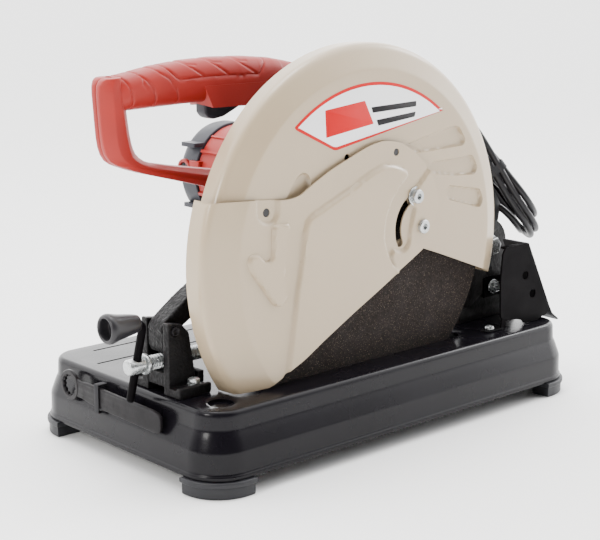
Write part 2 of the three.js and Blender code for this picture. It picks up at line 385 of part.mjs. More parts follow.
  // fixed guard: dished cover over the wheel's upper half
  const G = GUARD, s = G.sheet;
  const dish = turnedY([[0, G.face], [G.flat, G.face], [185, G.face + 2.6], [191, G.face + 7], [G.r, G.face + 12], [G.r, G.rimBack], [G.r - s, G.rimBack], [G.r - s, G.face + 12.4], [189, G.face + 8.2], [184, G.face + 4.7], [G.flat, G.face + s], [0, G.face + s]], G.x, G.z, 48);
  const cover = [[-320, 176], [-60, 176], [-10, 184], [42.5, 181], [72.1, 170.4], [145.6, 142.5], [200, 122], [320, 122], [320, 480], [-320, 480]];
  const guideHole = [FLAP.px - 9.2, FLAP.pz + 30.6];
  let fixed = both(dish, prismXZ(cover, -140, -60));
  fixed = cut(fixed, cylY(3.6, -58.7, 278.9, -120, -95, 14), cylY(4.4, FLAP.px, FLAP.pz, -120, -95, 16), cylY(4.4, guideHole[0], guideHole[1], -120, -95, 16));
  put(arm, "upper_guard", fixed, mat.beige);
  let back = both(turnedY([[0, -74.9], [190, -74.9], [190, -72.9], [0, -72.9]], G.x, G.z, 48), prismXZ([[-320, 176], [-92, 176], [-92, 140], [30, 140], [60, 150], [145.6, 142.5], [320, 122], [320, 480], [-320, 480]], -140, -60));
  back = cut(back, cylY(42, W.x, W.z, -90, -60, 28), cylY(5, 38, 250, -90, -60, 10));
  put(arm, "guard_back_plate", back, mat.beige);
  const bolt = (x, z) => add(cylY(6.8, x, z, -114.6, -109.1, 12), cylY(9.2, x, z, -110, -108.9, 12), cylY(2.9, x, z, -109, -97.4, 10), hexY(10, x, z, -101.2, -97.2)).subtract(cylY(2.9, x, z, -116, -111.6, 6));
  put(arm, "guard_pivot_bolt", bolt(FLAP.px, FLAP.pz), mat.zinc);
  put(arm, "guard_guide_bolt", bolt(...guideHole), mat.zinc);

  // movable guard: front flap that swings up round its pivot bolt
  const F = FLAP, f = F.sheet;
  const pan = turnedY([[0, F.face], [F.flat, F.face], [190, F.face + 4.2], [198, F.shoulder], [F.r, F.shoulder + 6], [F.r, F.rimBack], [F.r - f, F.rimBack], [F.r - f, F.shoulder + 6.6], [196.8, F.shoulder + 2], [189, F.face + 6.1], [F.flat, F.face + f], [0, F.face + f]], G.x, G.z, 56);
  const flapOutline = [[-245, 254.5], [-178.6, 252.8], [-138, 249], [-120, 251.5], [-107.8, 258.4], [-83.1, 270.5], [-57.8, 279.8], [-31.8, 289], [-11.9, 291.8], [10, 287.6], [28.2, 277.6], [44.2, 262.8], [54.7, 247], [59.5, 231.5], [59.8, 221.5], [55.8, 209], [50.5, 197.8], [44.4, 188.5], [39.3, 181], [18.2, 170], [5.7, 163.9], [-16.2, 152.3], [-56.2, 132.4], [-94.9, 112.1], [-120, 97.7], [-140.9, 89.5], [-158, 79.4], [-245, 79.4]];
  let flap = both(pan, prismXZ(flapOutline.reverse(), -140, -60));
  const sl = [...arc(F.px, F.pz, F.slotR + 3.4, 98, 206, 10), ...arc(F.px, F.pz, F.slotR - 3.4, 206, 98, 10)];
  flap = cut(flap, prismXZ(sl, -130, -100), cylY(3.4, guideHole[0], guideHole[1], -130, -100, 14), cylY(3.3, F.px, F.pz, -130, -100, 16), cylY(3.6, 1.9, 279.3, -130, -100, 14), cylY(4, -159.2, 239.8, -130, -100, 14));
  put(arm, "lower_guard", flap, mat.beige);

  // D-handle in two shells
  const H = HANDLE;
  const grip = [[-264, 347], [-263, 352], [-258, 356.4], [-237, 359], [-204, 365], [-171, 368.6], [-136, 370.4], [-100, 369.6], [-69, 367], [-49, 363.4], [-34, 360], [-4, 352], [16, 341], [27, 330], [28, 314], [28, 280], [-40, 280], [-44, 296], [-52, 312], [-64, 324], [-88, 330], [-94, 322], [-112, 331], [-131, 322], [-137, 324], [-143, 329], [-172, 329], [-205, 328], [-236, 327], [-262, 325]];
  const loop = [[-264, 347], [-262, 320], [-260, 296], [-256.5, 287], [-248, 279.5], [-224, 270], [-184, 259.6], [-144, 249], [-60, 228], [-60, 252.6], [-135, 265], [-180, 272.4], [-214, 278.2], [-222, 281.6], [-227.5, 287], [-230.4, 294], [-236, 327], [-240, 350]];
  const shell = (y0, y1, yb0, yb1) => add(prismXZ(grip.slice().reverse(), y0, y1), prismXZ(loop, yb0, yb1));
  const roomTrigger = prismXZ([[-147.5, 346], [-147.5, 310], [-118, 305], [-92, 325.4], [-84.6, 326], [-84.6, 340], [-92, 346]], -8.6, 8.6);
  const saddle = add(cylY(54.8, Mo.x, Mo.z, -60, -7.7, 40), cylY(52.7, Mo.x, Mo.z, -60, 60, 40));
  const gripSplit = (a, b) => block(-400, 200, a, b, 150, 450);
  const buttonRoom = cylY(6.4, -112, 346, 7, 20, 12);
  let nearShell = cut(shell(-H.half, -0.15, -H.bar, -0.15), roomTrigger, saddle, cylX(7.6, 0, 322, 12, 60, 16));
  let farShell = cut(shell(0.15, H.half, 0.15, H.bar), roomTrigger, saddle, buttonRoom, cylX(7.6, 0, 322, 12, 60, 16));
  put(arm, "handle_shell_right", both(nearShell, gripSplit(-30, 0)), mat.red);
  put(arm, "handle_shell_left", both(farShell, gripSplit(0, 30)), mat.red);
  put(arm, "trigger", cut(prismXZ([[-145.4, 334], [-145.4, 318], [-142, 313.4], [-132, 311.4], [-118, 315], [-104, 321], [-96, 326], [-88, 328.4], [-86, 333], [-88, 337.4], [-140, 337.4]].reverse(), -7.8, 7.8), block(-130, -100, -8, 8, 333, 340)), mat.greyPlastic);
  put(arm, "lock_on_button", add(cylY(6, -112, 346, 11.6, 20.4, 12)), mat.blackPlastic);

  // strain relief, lead, folded hank and plug
  const sr = turnedY([[0, -16], [7.2, -16], [7.2, -7.8], [8.8, -7.6], [8.8, -4.6], [7, -4], [4.9, 24], [0, 24]], 0, 0, 16);
  const srM = new THREE.Matrix4().makeRotationZ(-Math.PI / 2).setPosition(36.6, 0, 322);
  put(arm, "strain_relief", sr.transform(srM.elements), mat.rubber);
  const a = new THREE.Vector3(-0.459, 0.393, 0.798).normalize(); // up along the hank
  const w = new THREE.Vector3(-0.547, -0.837, 0.017).normalize();
  const n = new THREE.Vector3().crossVectors(a, w).normalize();
  w.crossVectors(n, a).normalize();
  const low = new THREE.Vector3(277, -63, 160);
  const frame = (s, u, v) => low.clone().addScaledVector(a, s).addScaledVector(w, u).addScaledVector(n, v);
  const hankM = new THREE.Matrix4().makeBasis(a, w, n).setPosition(low);
  const hankOutline = stadium(34, 0, 161, 0, 34, 12);
  const hank = solid(extruded(hankOutline, 23).translate(0, 0, -11.5).applyMatrix4(hankM));
  put(arm, "cord_hank", hank, mat.cord);
  const q = (v) => [v.x, v.y, v.z];
  const lead = [[61, 0, 321.8], [70, -0.2, 321], [84, -1, 317.6], [104, -2.4, 311], [124, -3.6, 305.4], [142, -3, 302.6], [158, -0.4, 303]];
  put(arm, "power_cord", tube(lead, CORD.d, 8, 14), mat.cord);
  const pm = new THREE.Matrix4().makeBasis(w, a, n.clone().negate()).setPosition(frame(128, 2, -31.5));
  const plug = turnedY([[0, -30], [5, -30], [7, -8], [15, -2], [18.5, 4], [18.5, 16], [17, 18], [0, 18]], 0, 0, 18).transform(pm.elements);
  const pin = (u) => solid(new THREE.CylinderGeometry(2.4, 2.4, 20, 8).translate(u, 27, 0)).transform(pm.elements);
  put(arm, "power_plug", add(plug, pin(-9.5), pin(9.5)), mat.blackPlastic);
}

export default saw;
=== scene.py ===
# Looks of the abrasive chop saw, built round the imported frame. Design sizes are in millimetres and W() turns them into the frame's metres.
import bpy, bmesh, math, json
import numpy as np
from mathutils import Vector, Matrix
from mathutils.geometry import delaunay_2d_cdt


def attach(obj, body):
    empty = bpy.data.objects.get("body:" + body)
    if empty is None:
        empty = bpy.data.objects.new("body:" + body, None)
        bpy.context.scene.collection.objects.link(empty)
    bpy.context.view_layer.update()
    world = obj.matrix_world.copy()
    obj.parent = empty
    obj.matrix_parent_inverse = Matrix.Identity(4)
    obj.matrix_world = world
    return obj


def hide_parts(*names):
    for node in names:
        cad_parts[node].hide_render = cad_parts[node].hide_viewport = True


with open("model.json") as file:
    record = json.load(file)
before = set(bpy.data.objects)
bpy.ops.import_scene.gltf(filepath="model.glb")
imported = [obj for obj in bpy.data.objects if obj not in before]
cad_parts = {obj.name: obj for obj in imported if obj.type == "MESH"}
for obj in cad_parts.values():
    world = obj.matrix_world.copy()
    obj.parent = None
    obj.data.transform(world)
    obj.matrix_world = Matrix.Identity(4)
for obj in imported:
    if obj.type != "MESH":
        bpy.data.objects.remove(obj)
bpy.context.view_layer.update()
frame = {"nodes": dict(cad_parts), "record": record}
NODES = frame["nodes"]
SX = 21.5


def W(x, y, z):
    return ((x + SX) / 1000.0, y / 1000.0, z / 1000.0)


# ------------------------------------------------------------------ camera
cam_data = bpy.data.cameras.new("camera")
cam = bpy.data.objects.new("camera", cam_data)
bpy.context.scene.collection.objects.link(cam)
cam_data.lens = 83.01
cam_data.sensor_width = 36
cam_data.clip_start = 0.05
cam_data.clip_end = 60
CB = Vector((-0.65556, -0.72337, 0.21673)).normalized()
CR = Vector((0.74105, -0.67145, 0)).normalized()
CU = CB.cross(CR)
cam.matrix_world = Matrix(((CR.x, CU.x, CB.x, -0.92185), (CR.y, CU.y, CB.y, -1.0153), (CR.z, CU.z, CB.z, 0.45482), (0, 0, 0, 1)))
bpy.context.scene.camera = cam


# ------------------------------------------------------------------ materials
def material(name, color, rough, metal=0.0, var=0.08, vscale=25.0, rvar=0.08, rscale=60.0, bump=0.15, bscale=900.0, bdist=0.0002, coat=0.0,
             coat_rough=0.15, spec=0.5, wear=None, wear_pos=(0.52, 0.6), sheen=0.0, grime=0.0):
    m = bpy.data.materials.new(name)
    m.use_nodes = True
    nt = m.node_tree
    N, L = nt.nodes, nt.links
    p = N["Principled BSDF"]
    p.inputs["Metallic"].default_value = metal
    p.inputs["Coat Weight"].default_value = coat
    p.inputs["Coat Roughness"].default_value = coat_rough
    p.inputs["Specular IOR Level"].default_value = spec
    if sheen:
        p.inputs["Sheen Weight"].default_value = sheen
    tc = N.new("ShaderNodeTexCoord")
    n1 = N.new("ShaderNodeTexNoise")
    n1.inputs["Scale"].default_value = vscale
    n1.inputs["Detail"].default_value = 5
    L.new(tc.outputs["Object"], n1.inputs["Vector"])
    ramp = N.new("ShaderNodeValToRGB")
    e = ramp.color_ramp.elements
    e[0].position, e[1].position = 0.3, 0.7
    e[0].color = [max(0, c * (1 - var)) for c in color] + [1]
    e[1].color = [min(1, c * (1 + var)) for c in color] + [1]
    L.new(n1.outputs["Fac"], ramp.inputs["Fac"])
    col = ramp.outputs["Color"]
    if grime:
        g = N.new("ShaderNodeTexNoise")
        g.inputs["Scale"].default_value = vscale * 7
        g.inputs["Detail"].default_value = 6
        L.new(tc.outputs["Object"], g.inputs["Vector"])
        gr = N.new("ShaderNodeValToRGB")
        gr.color_ramp.elements[0].position, gr.color_ramp.elements[1].position = 0.42, 0.75
        gr.color_ramp.elements[0].color = (0, 0, 0, 1)
        gr.color_ramp.elements[1].color = (grime, grime, grime, 1)
        L.new(g.outputs["Fac"], gr.inputs["Fac"])
        mg = N.new("ShaderNodeMix")
        mg.data_type = "RGBA"
        L.new(gr.outputs["Color"], mg.inputs[0])
        L.new(col, mg.inputs[6])
        mg.inputs[7].default_value = [c * 0.45 for c in color] + [1]
        col = mg.outputs[2]
    if wear:
        geo = N.new("ShaderNodeNewGeometry")
        wr = N.new("ShaderNodeValToRGB")
        wr.color_ramp.elements[0].position, wr.color_ramp.elements[1].position = wear_pos
        L.new(geo.outputs["Pointiness"], wr.inputs["Fac"])
        mw = N.new("ShaderNodeMix")
        mw.data_type = "RGBA"
        mul = N.new("ShaderNodeMath")
        mul.operation = "MULTIPLY"
        L.new(wr.outputs["Color"], mul.inputs[0])
        L.new(n1.outputs["Fac"], mul.inputs[1])
        L.new(mul.outputs[0], mw.inputs[0])
        L.new(col, mw.inputs[6])
        mw.inputs[7].default_value = list(wear) + [1]
        col = mw.outputs[2]
    L.new(col, p.inputs["Base Color"])
    n2 = N.new("ShaderNodeTexNoise")
    n2.inputs["Scale"].default_value = rscale
    n2.inputs["Detail"].default_value = 6
    L.new(tc.outputs["Object"], n2.inputs["Vector"])
    mr = N.new("ShaderNodeMapRange")
    mr.inputs["From Min"].default_value = 0.3
    mr.inputs["From Max"].default_value = 0.7
    mr.inputs["To Min"].default_value = max(0.02, rough - rvar)
    mr.inputs["To Max"].default_value = min(1, rough + rvar)
    L.new(n2.outputs["Fac"], mr.inputs["Value"])
    L.new(mr.outputs["Result"], p.inputs["Roughness"])
    if bump:
        n3 = N.new("ShaderNodeTexNoise")
        n3.inputs["Scale"].default_value = bscale
        n3.inputs["Detail"].default_value = 4
        L.new(tc.outputs["Object"], n3.inputs["Vector"])
        b = N.new("ShaderNodeBump")
        b.inputs["Strength"].default_value = bump
        b.inputs["Distance"].default_value = bdist
        L.new(n3.outputs["Fac"], b.inputs["Height"])
        L.new(b.outputs["Normal"], p.inputs["Normal"])
    return m


def abrasive_material():
    m = material("abrasive_grit", (0.017, 0.0125, 0.011), 0.85, bump=0.9, bscale=700, bdist=0.0006, var=0.35, vscale=420, spec=0.2)
    nt = m.node_tree
    N, L = nt.nodes, nt.links
    p = N["Principled BSDF"]
    tc = next(n for n in N if n.bl_idname == "ShaderNodeTexCoord")
    old = p.inputs["Base Color"].links[0].from_socket
    v = N.new("ShaderNodeTexVoronoi")
    v.inputs["Scale"].default_value = 1250
    L.new(tc.outputs["Object"], v.inputs["Vector"])
    sep = N.new("ShaderNodeSeparateColor")
    L.new(v.outputs["Color"], sep.inputs["Color"])
    r = N.new("ShaderNodeValToRGB")
    r.color_ramp.elements[0].position, r.color_ramp.elements[1].position = 0.8, 0.97
    L.new(sep.outputs[0], r.inputs["Fac"])
    d = N.new("ShaderNodeValToRGB")
    d.color_ramp.elements[0].position, d.color_ramp.elements[1].position = 0.3, 0.55
    d.color_ramp.elements[0].color, d.color_ramp.elements[1].color = (1, 1, 1, 1), (0, 0, 0, 1)
    L.new(v.outputs["Distance"], d.inputs["Fac"])
    mu = N.new("ShaderNodeMath")
    mu.operation = "MULTIPLY"
    L.new(r.outputs["Color"], mu.inputs[0])
    L.new(d.outputs["Color"], mu.inputs[1])
    mx = N.new("ShaderNodeMix")
    mx.data_type = "RGBA"
    L.new(mu.outputs[0], mx.inputs[0])
    L.new(old, mx.inputs[6])
    mx.inputs[7].default_value = (0.15, 0.112, 0.08, 1)
    L.new(mx.outputs[2], p.inputs["Base Color"])
    return m


M = {
    "base": material("base_gloss_black", (0.0045, 0.0038, 0.0056), 0.27, var=0.15, rvar=0.05, rscale=18, bump=0.06, bscale=160, bdist=0.0006, coat=0.06, coat_rough=0.1, spec=0.14),
    "black": material("black_powder_coat", (0.0024, 0.0018, 0.0023), 0.5, var=0.15, spec=0.03, bump=0.12, bscale=1400, bdist=0.0001, wear=(0.08, 0.08, 0.085)),
    "cast": material("rough_cast_black", (0.004, 0.0035, 0.004), 0.5, spec=0.15, var=0.3, vscale=120, rvar=0.15, rscale=200, bump=0.75, bscale=330, bdist=0.0008, wear=(0.05, 0.047, 0.047), wear_pos=(0.51, 0.57)),
    "castarm": material("die_cast_black", (0.0045, 0.004, 0.0046), 0.45, spec=0.15, var=0.2, vscale=60, bump=0.25, bscale=700, bdist=0.0003, wear=(0.05, 0.05, 0.05)),
    "beige": material("beige_enamel", (0.415, 0.322, 0.213), 0.32, var=0.02, vscale=9, rvar=0.04, rscale=14, bump=0.035, bscale=230, bdist=0.0004, coat=0.25, coat_rough=0.2),
    "abrasive": abrasive_material(),
    "zinc": material("zinc_plate", (0.46, 0.475, 0.475), 0.3, metal=0.78, var=0.1, vscale=160, rvar=0.1, rscale=240, bump=0.12, bscale=700, bdist=0.0001),
    "steel": material("turned_steel", (0.46, 0.46, 0.47), 0.33, metal=1.0, var=0.12, vscale=200, rvar=0.1, bump=0.15, bscale=1100, bdist=0.0001),
    "wrench": material("dark_stamped_steel", (0.007, 0.006, 0.007), 0.42, metal=0.0, spec=0.12, var=0.3, vscale=90, rvar=0.12, rscale=140, bump=0.3, bscale=500, bdist=0.0002, wear=(0.04, 0.038, 0.04)),
    "red": material("red_nylon", (0.30, 0.017, 0.012), 0.47, var=0.08, vscale=30, rvar=0.05, bump=0.3, bscale=2300, bdist=0.00008, spec=0.3),
    "grey": material("grey_nylon", (0.030, 0.031, 0.039), 0.5, spec=0.25, var=0.1, vscale=50, bump=0.3, bscale=2300, bdist=0.00008),
    "bplastic": material("black_nylon", (0.012, 0.011, 0.013), 0.36, spec=0.35, var=0.15, vscale=60, rvar=0.06, bump=0.15, bscale=1800, bdist=0.00008),
    "rubber": material("foot_rubber", (0.014, 0.014, 0.017), 0.5, var=0.2, vscale=60, bump=0.35, bscale=1200, bdist=0.0001, spec=0.35),
    "cord": material("cord_jacket", (0.011, 0.010, 0.012), 0.4, spec=0.4, var=0.12, vscale=80, bump=0.1, bscale=900, bdist=0.0001),
    "copper": material("winding_copper", (0.62, 0.25, 0.12), 0.35, metal=1.0, bump=0.8, bscale=900, bdist=0.0004),
    "lam": material("stator_stack", (0.3, 0.3, 0.32), 0.5, metal=0.8, bump=0.5, bscale=1500, bdist=0.0002),
    "white": material("label_white", (0.88, 0.88, 0.89), 0.45, var=0.01, vscale=10, bump=0.0, spec=0.3),
    "labelred": material("label_red", (0.52, 0.0, 0.002), 0.55, var=0.03, vscale=40, bump=0.0, spec=0.2),
    "labeldark": material("label_dark", (0.012, 0.011, 0.012), 0.5, var=0.05, vscale=40, bump=0.0, spec=0.15),
}
# CAD nodes that stay as they are take the same finishes
KEEP = {"base_paint": "base", "black_paint": "black", "cast_black": "cast", "arm_alloy": "castarm", "guard_paint": "beige", "abrasive": "abrasive", "zinc": "zinc", "steel": "steel",
        "wrench_steel": "wrench", "red_plastic": "red", "grey_plastic": "grey", "black_plastic": "bplastic", "rubber": "rubber", "cord_jacket": "cord", "copper": "copper", "lamination": "lam"}
NODE_SLOT = {s["node"]: s["material_slot"] for s in frame["record"]["subparts"]}
NODE_BODY = {n: b for b, ns in frame["record"]["behaviour"]["bodies"].items() for n in ns}


# ------------------------------------------------------------------ mesh helpers, all in design millimetres
def finish(o, mat, body, nodes=(), angle=32, smooth=True):
    me = o.data
    me.materials.clear()
    me.materials.append(M[mat])
    if smooth:
        for p in me.polygons:
            p.use_smooth = True
        me.set_sharp_from_angle(angle=math.radians(angle))
    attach(o, body)
    if nodes:
        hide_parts(*nodes)
    return o


def link_mesh(name, me):
    o = bpy.data.objects.new(name, me)
    bpy.context.scene.collection.objects.link(o)
    return o


def raw(name, verts, faces, merge=1e-4, recalc=True):
    """mesh from mm vertices, scaled to the frame"""
    me = bpy.data.meshes.new(name)
    me.from_pydata([tuple(v) for v in verts], [], faces)
    bm = bmesh.new()
    bm.from_mesh(me)
    if merge:
        bmesh.ops.remove_doubles(bm, verts=bm.verts, dist=merge)
    bmesh.ops.dissolve_degenerate(bm, edges=bm.edges, dist=1e-5)
    if recalc:
        bmesh.ops.recalc_face_normals(bm, faces=bm.faces)
    for v in bm.verts:
        v.co = W(*v.co)
    bm.to_mesh(me)
    bm.free()
    return link_mesh(name, me)


def apply_mods(o):
    dg = bpy.context.evaluated_depsgraph_get()
    me = bpy.data.meshes.new_from_object(o.evaluated_get(dg))
    o.modifiers.clear()
    old = o.data
    o.data = me
    bpy.data.meshes.remove(old)
    return o


def join(name, objs):
    bm = bmesh.new()
    for o in objs:
        bm.from_mesh(o.data)
    me = bpy.data.meshes.new(name)
    bm.to_mesh(me)
    bm.free()
    for o in objs:
        d = o.data
        bpy.data.objects.remove(o)
        bpy.data.meshes.remove(d)
    return link_mesh(name, me)


def plate(name, outline, plane, a0, a1, holes=(), bevel=0.5, res=2):
    """extruded outline with rounded edges; plane XZ runs from y=a0 to a1, XY from z, YZ from x"""
    cu = bpy.data.curves.new(name, "CURVE")
    cu.dimensions = "2D"
    cu.fill_mode = "BOTH"
    for pts in [outline] + list(holes):
        s = cu.splines.new("POLY")
        s.points.add(len(pts) - 1)
        for q, (u, v) in zip(s.points, pts):
            q.co = (u, v, 0, 1)
        s.use_cyclic_u = True
    t = (a1 - a0) / 2
    bevel = min(bevel, t * 0.98)
    cu.extrude = t - bevel
    cu.bevel_depth = bevel
    cu.bevel_resolution = res
    cu.offset = -bevel
    o = bpy.data.objects.new(name, cu)
    bpy.context.scene.collection.objects.link(o)
    dg = bpy.context.evaluated_depsgraph_get()
    me = bpy.data.meshes.new_from_object(o.evaluated_get(dg))
    bpy.data.objects.remove(o)
    bpy.data.curves.remove(cu)
    mid = (a0 + a1) / 2
    bm = bmesh.new()
    bm.from_mesh(me)
    bmesh.ops.remove_doubles(bm, verts=bm.verts, dist=1e-4)
    for v in bm.verts:
        u, w, d = v.co
        v.co = W(u, mid + d, w) if plane == "XZ" else W(u, w, mid + d) if plane == "XY" else W(mid + d, u, w)
    bmesh.ops.recalc_face_normals(bm, faces=bm.faces)
    bm.to_mesh(me)
    bm.free()
    return link_mesh(name, me)


def arc(cx, cz, r, a0, a1, n):
    return [(cx + r * math.cos(math.radians(a0 + (a1 - a0) * i / n)), cz + r * math.sin(math.radians(a0 + (a1 - a0) * i / n))) for i in range(n + 1)]


def circle(cx, cz, r, n=40):
    return arc(cx, cz, r, 0, 360, n)[:-1]


def stadium(x0, y0, x1, y1, r, n=14):
    a = math.degrees(math.atan2(y1 - y0, x1 - x0))
    return arc(x1, y1, r, a - 90, a + 90, n) + arc(x0, y0, r, a + 90, a + 270, n)


def rrect(cx, cy, w, h, r, n=6):
    return (arc(cx + w / 2 - r, cy - h / 2 + r, r, -90, 0, n) + arc(cx + w / 2 - r, cy + h / 2 - r, r, 0, 90, n)
            + arc(cx - w / 2 + r, cy + h / 2 - r, r, 90, 180, n) + arc(cx - w / 2 + r, cy - h / 2 + r, r, 180, 270, n))


def smooth_poly(pts, r=2.0, n=4):
    """rounds each corner of a closed outline"""
    out = []
    k = len(pts)
    for i in range(k):
        p, a, b = Vector(pts[i]), Vector(pts[i - 1]), Vector(pts[(i + 1) % k])
        u, v = (a - p), (b - p)
        d = min(r, u.length * 0.45, v.length * 0.45)
        if d < 0.05:
            out.append(tuple(p))
            continue
        s, e = p + u.normalized() * d, p + v.normalized() * d
        for j in range(n + 1):
            t = j / n
            q = s * (1 - t) ** 2 + p * 2 * t * (1 - t) + e * t ** 2
            out.append((q.x, q.y))
    return out


def lathe(name, prof, axis, c, n=64, ridges=None):
    """profile [(radius, position along axis)] turned about the axis line through c (the other two coordinates)"""
    closed = prof[0][0] > 1e-6 or prof[-1][0] > 1e-6
    verts, faces, rings = [], [], []
    for r, a in prof:
        if r < 1e-6:
            rings.append([len(verts)])
            verts.append((0, 0, a))
        else:
            rings.append(list(range(len(verts), len(verts) + n)))
            for i in range(n):
                t = 2 * math.pi * i / n
                rr = r * (1 + (ridges(t, a) if ridges else 0))
                verts.append((rr * math.cos(t), rr * math.sin(t), a))
    seq = list(range(len(rings))) + ([0] if closed else [])
    for i, j in zip(seq, seq[1:]):
        A, B = rings[i], rings[j]
        if len(A) == 1 and len(B) == 1:
            continue
        for k in range(n):
            l = (k + 1) % n
            if len(A) == 1:
                faces.append((A[0], B[k], B[l]))
            elif len(B) == 1:
                faces.append((A[k], A[l], B[0]))
            else:
                faces.append((A[k], A[l], B[l], B[k]))
    c0, c1 = c
    if axis == "Y":
        vs = [(c0 + u, a, c1 + v) for u, v, a in verts]
    elif axis == "X":
        vs = [(a, c0 + u, c1 + v) for u, v, a in verts]
    else:
        vs = [(c0 + u, c1 + v, a) for u, v, a in verts]
    return raw(name, vs, faces)


def tube(name, pts, radius, sides=16, cap=True, radii=None):
    P = [Vector(p) for p in pts]
    T = [(P[min(i + 1, len(P) - 1)] - P[max(i - 1, 0)]).normalized() for i in range(len(P))]
    ref = Vector((0, 0, 1)) if abs(T[0].z) < 0.9 else Vector((1, 0, 0))
    nrm = (ref - T[0] * ref.dot(T[0])).normalized()
    verts, faces = [], []
    for i, (p, t) in enumerate(zip(P, T)):
        nrm = (nrm - t * nrm.dot(t)).normalized()
        b = t.cross(nrm)
        r = radii[i] if radii else radius
        for k in range(sides):
            a = 2 * math.pi * k / sides
            verts.append(tuple(p + nrm * (r * math.cos(a)) + b * (r * math.sin(a))))
    for i in range(len(P) - 1):
        for k in range(sides):
            l = (k + 1) % sides
            faces.append((i * sides + k, i * sides + l, (i + 1) * sides + l, (i + 1) * sides + k))
    if cap:
        faces.append(tuple(range(sides))[::-1])
        faces.append(tuple((len(P) - 1) * sides + k for k in range(sides)))
    return raw(name, verts, faces)


def catmull(pts, step=1.5):
    """points along a centripetal-like smooth curve through pts"""
    P = [Vector(p) for p in pts]
    P = [P[0] * 2 - P[1]] + P + [P[-1] * 2 - P[-2]]
    out = []
    for i in range(1, len(P) - 2):
        n = max(2, int((P[i + 1] - P[i]).length / step))
        for j in range(n):
            t = j / n
            a, b, c, d = P[i - 1], P[i], P[i + 1], P[i + 2]
            out.append(0.5 * ((2 * b) + (c - a) * t + (2 * a - 5 * b + 4 * c - d) * t * t + (3 * b - a - 3 * c + d) * t ** 3))
    out.append(P[-2])
    return [tuple(v) for v in out]


def boolean(o, cutters, op="DIFFERENCE"):
    for c in cutters:
        md = o.modifiers.new("cut", "BOOLEAN")
        md.operation = op
        md.solver = "EXACT"
        md.object = c
    apply_mods(o)
    for c in cutters:
        d = c.data
        bpy.data.objects.remove(c)
        bpy.data.meshes.remove(d)
    return o


def voxel(o, size, smooth=2):
    md = o.modifiers.new("fuse", "REMESH")
    md.mode = "VOXEL"
    md.voxel_size = size / 1000
    md.use_smooth_shade = True
    if smooth:
        s = o.modifiers.new("soft", "SMOOTH")
        s.iterations = smooth
        s.factor = 0.5
    return apply_mods(o)


def block(name, x0, x1, y0, y1, z0, z1, bevel=0.5):
    return plate(name, [(x0, z0), (x1, z0), (x1, z1), (x0, z1)], "XZ", y0, y1, bevel=bevel)


def soften(node, mat=None, width=0.5, segs=2, angle=35, limit=28):
    """a CAD piece with its edges rounded"""
    src = NODES[node]
    o = link_mesh(node + "_finished", src.data.copy())
    bm = bmesh.new()
    bm.from_mesh(o.data)
    bmesh.ops.remove_doubles(bm, verts=bm.verts, dist=1e-6)
    bmesh.ops.dissolve_limit(bm, angle_limit=math.radians(0.5), verts=bm.verts, edges=bm.edges)
    bm.to_mesh(o.data)
    bm.free()
    b = o.modifiers.new("edge", "BEVEL")
    b.width = width / 1000
    b.segments = segs
    b.limit_method = "ANGLE"
    b.angle_limit = math.radians(limit)
    b.harden_normals = False
    apply_mods(o)
    return finish(o, mat or KEEP[NODE_SLOT[node]], NODE_BODY[node], [node], angle=angle)


# ------------------------------------------------------------------ plane geometry for pressed sheets
def inside(P, poly):
    x, y = P[:, 0], P[:, 1]
    c = np.zeros(len(P), bool)
    q = np.array(poly)
    j = len(q) - 1
    for i in range(len(q)):
        xi, yi, xj, yj = q[i, 0], q[i, 1], q[j, 0], q[j, 1]
        hit = ((yi > y) != (yj > y)) & (x < (xj - xi) * (y - yi) / ((yj - yi) + 1e-12) + xi)
        c ^= hit
        j = i
    return c


def dist(P, line, closed=False):
    q = np.array(line, float)
    a = q
    b = np.roll(q, -1, 0)
    if not closed:
        a, b = a[:-1], b[:-1]
    best = np.full(len(P), 1e9)
    for s, e in zip(a, b):
        d = e - s
        t = np.clip(((P - s) @ d) / max(d @ d, 1e-9), 0, 1)
        best = np.minimum(best, np.hypot(*(P - (s + t[:, None] * d)).T))
    return best


def sstep(x):
    x = np.clip(x, 0, 1)
    return x * x * (3 - 2 * x)


def pad(P, poly, height, slope):
    """raised (or sunk) flat-topped area with a smooth slope just inside its outline"""
    d = dist(P, poly, True)
    return np.where(inside(P, poly), height * sstep(d / slope), 0.0)


def ridge(P, line, height, half):
    return height * sstep(1 - dist(P, line) / half)


def resample(poly, step, closed=True):
    q = [Vector(p) for p in poly]
    if closed:
        q.append(q[0])
    out = []
    for a, b in zip(q, q[1:]):
        n = max(1, int((b - a).length / step + 0.5))
        for j in range(n):
            out.append(tuple(a.lerp(b, j / n)))
    if not closed:
        out.append(tuple(q[-1]))
    return out


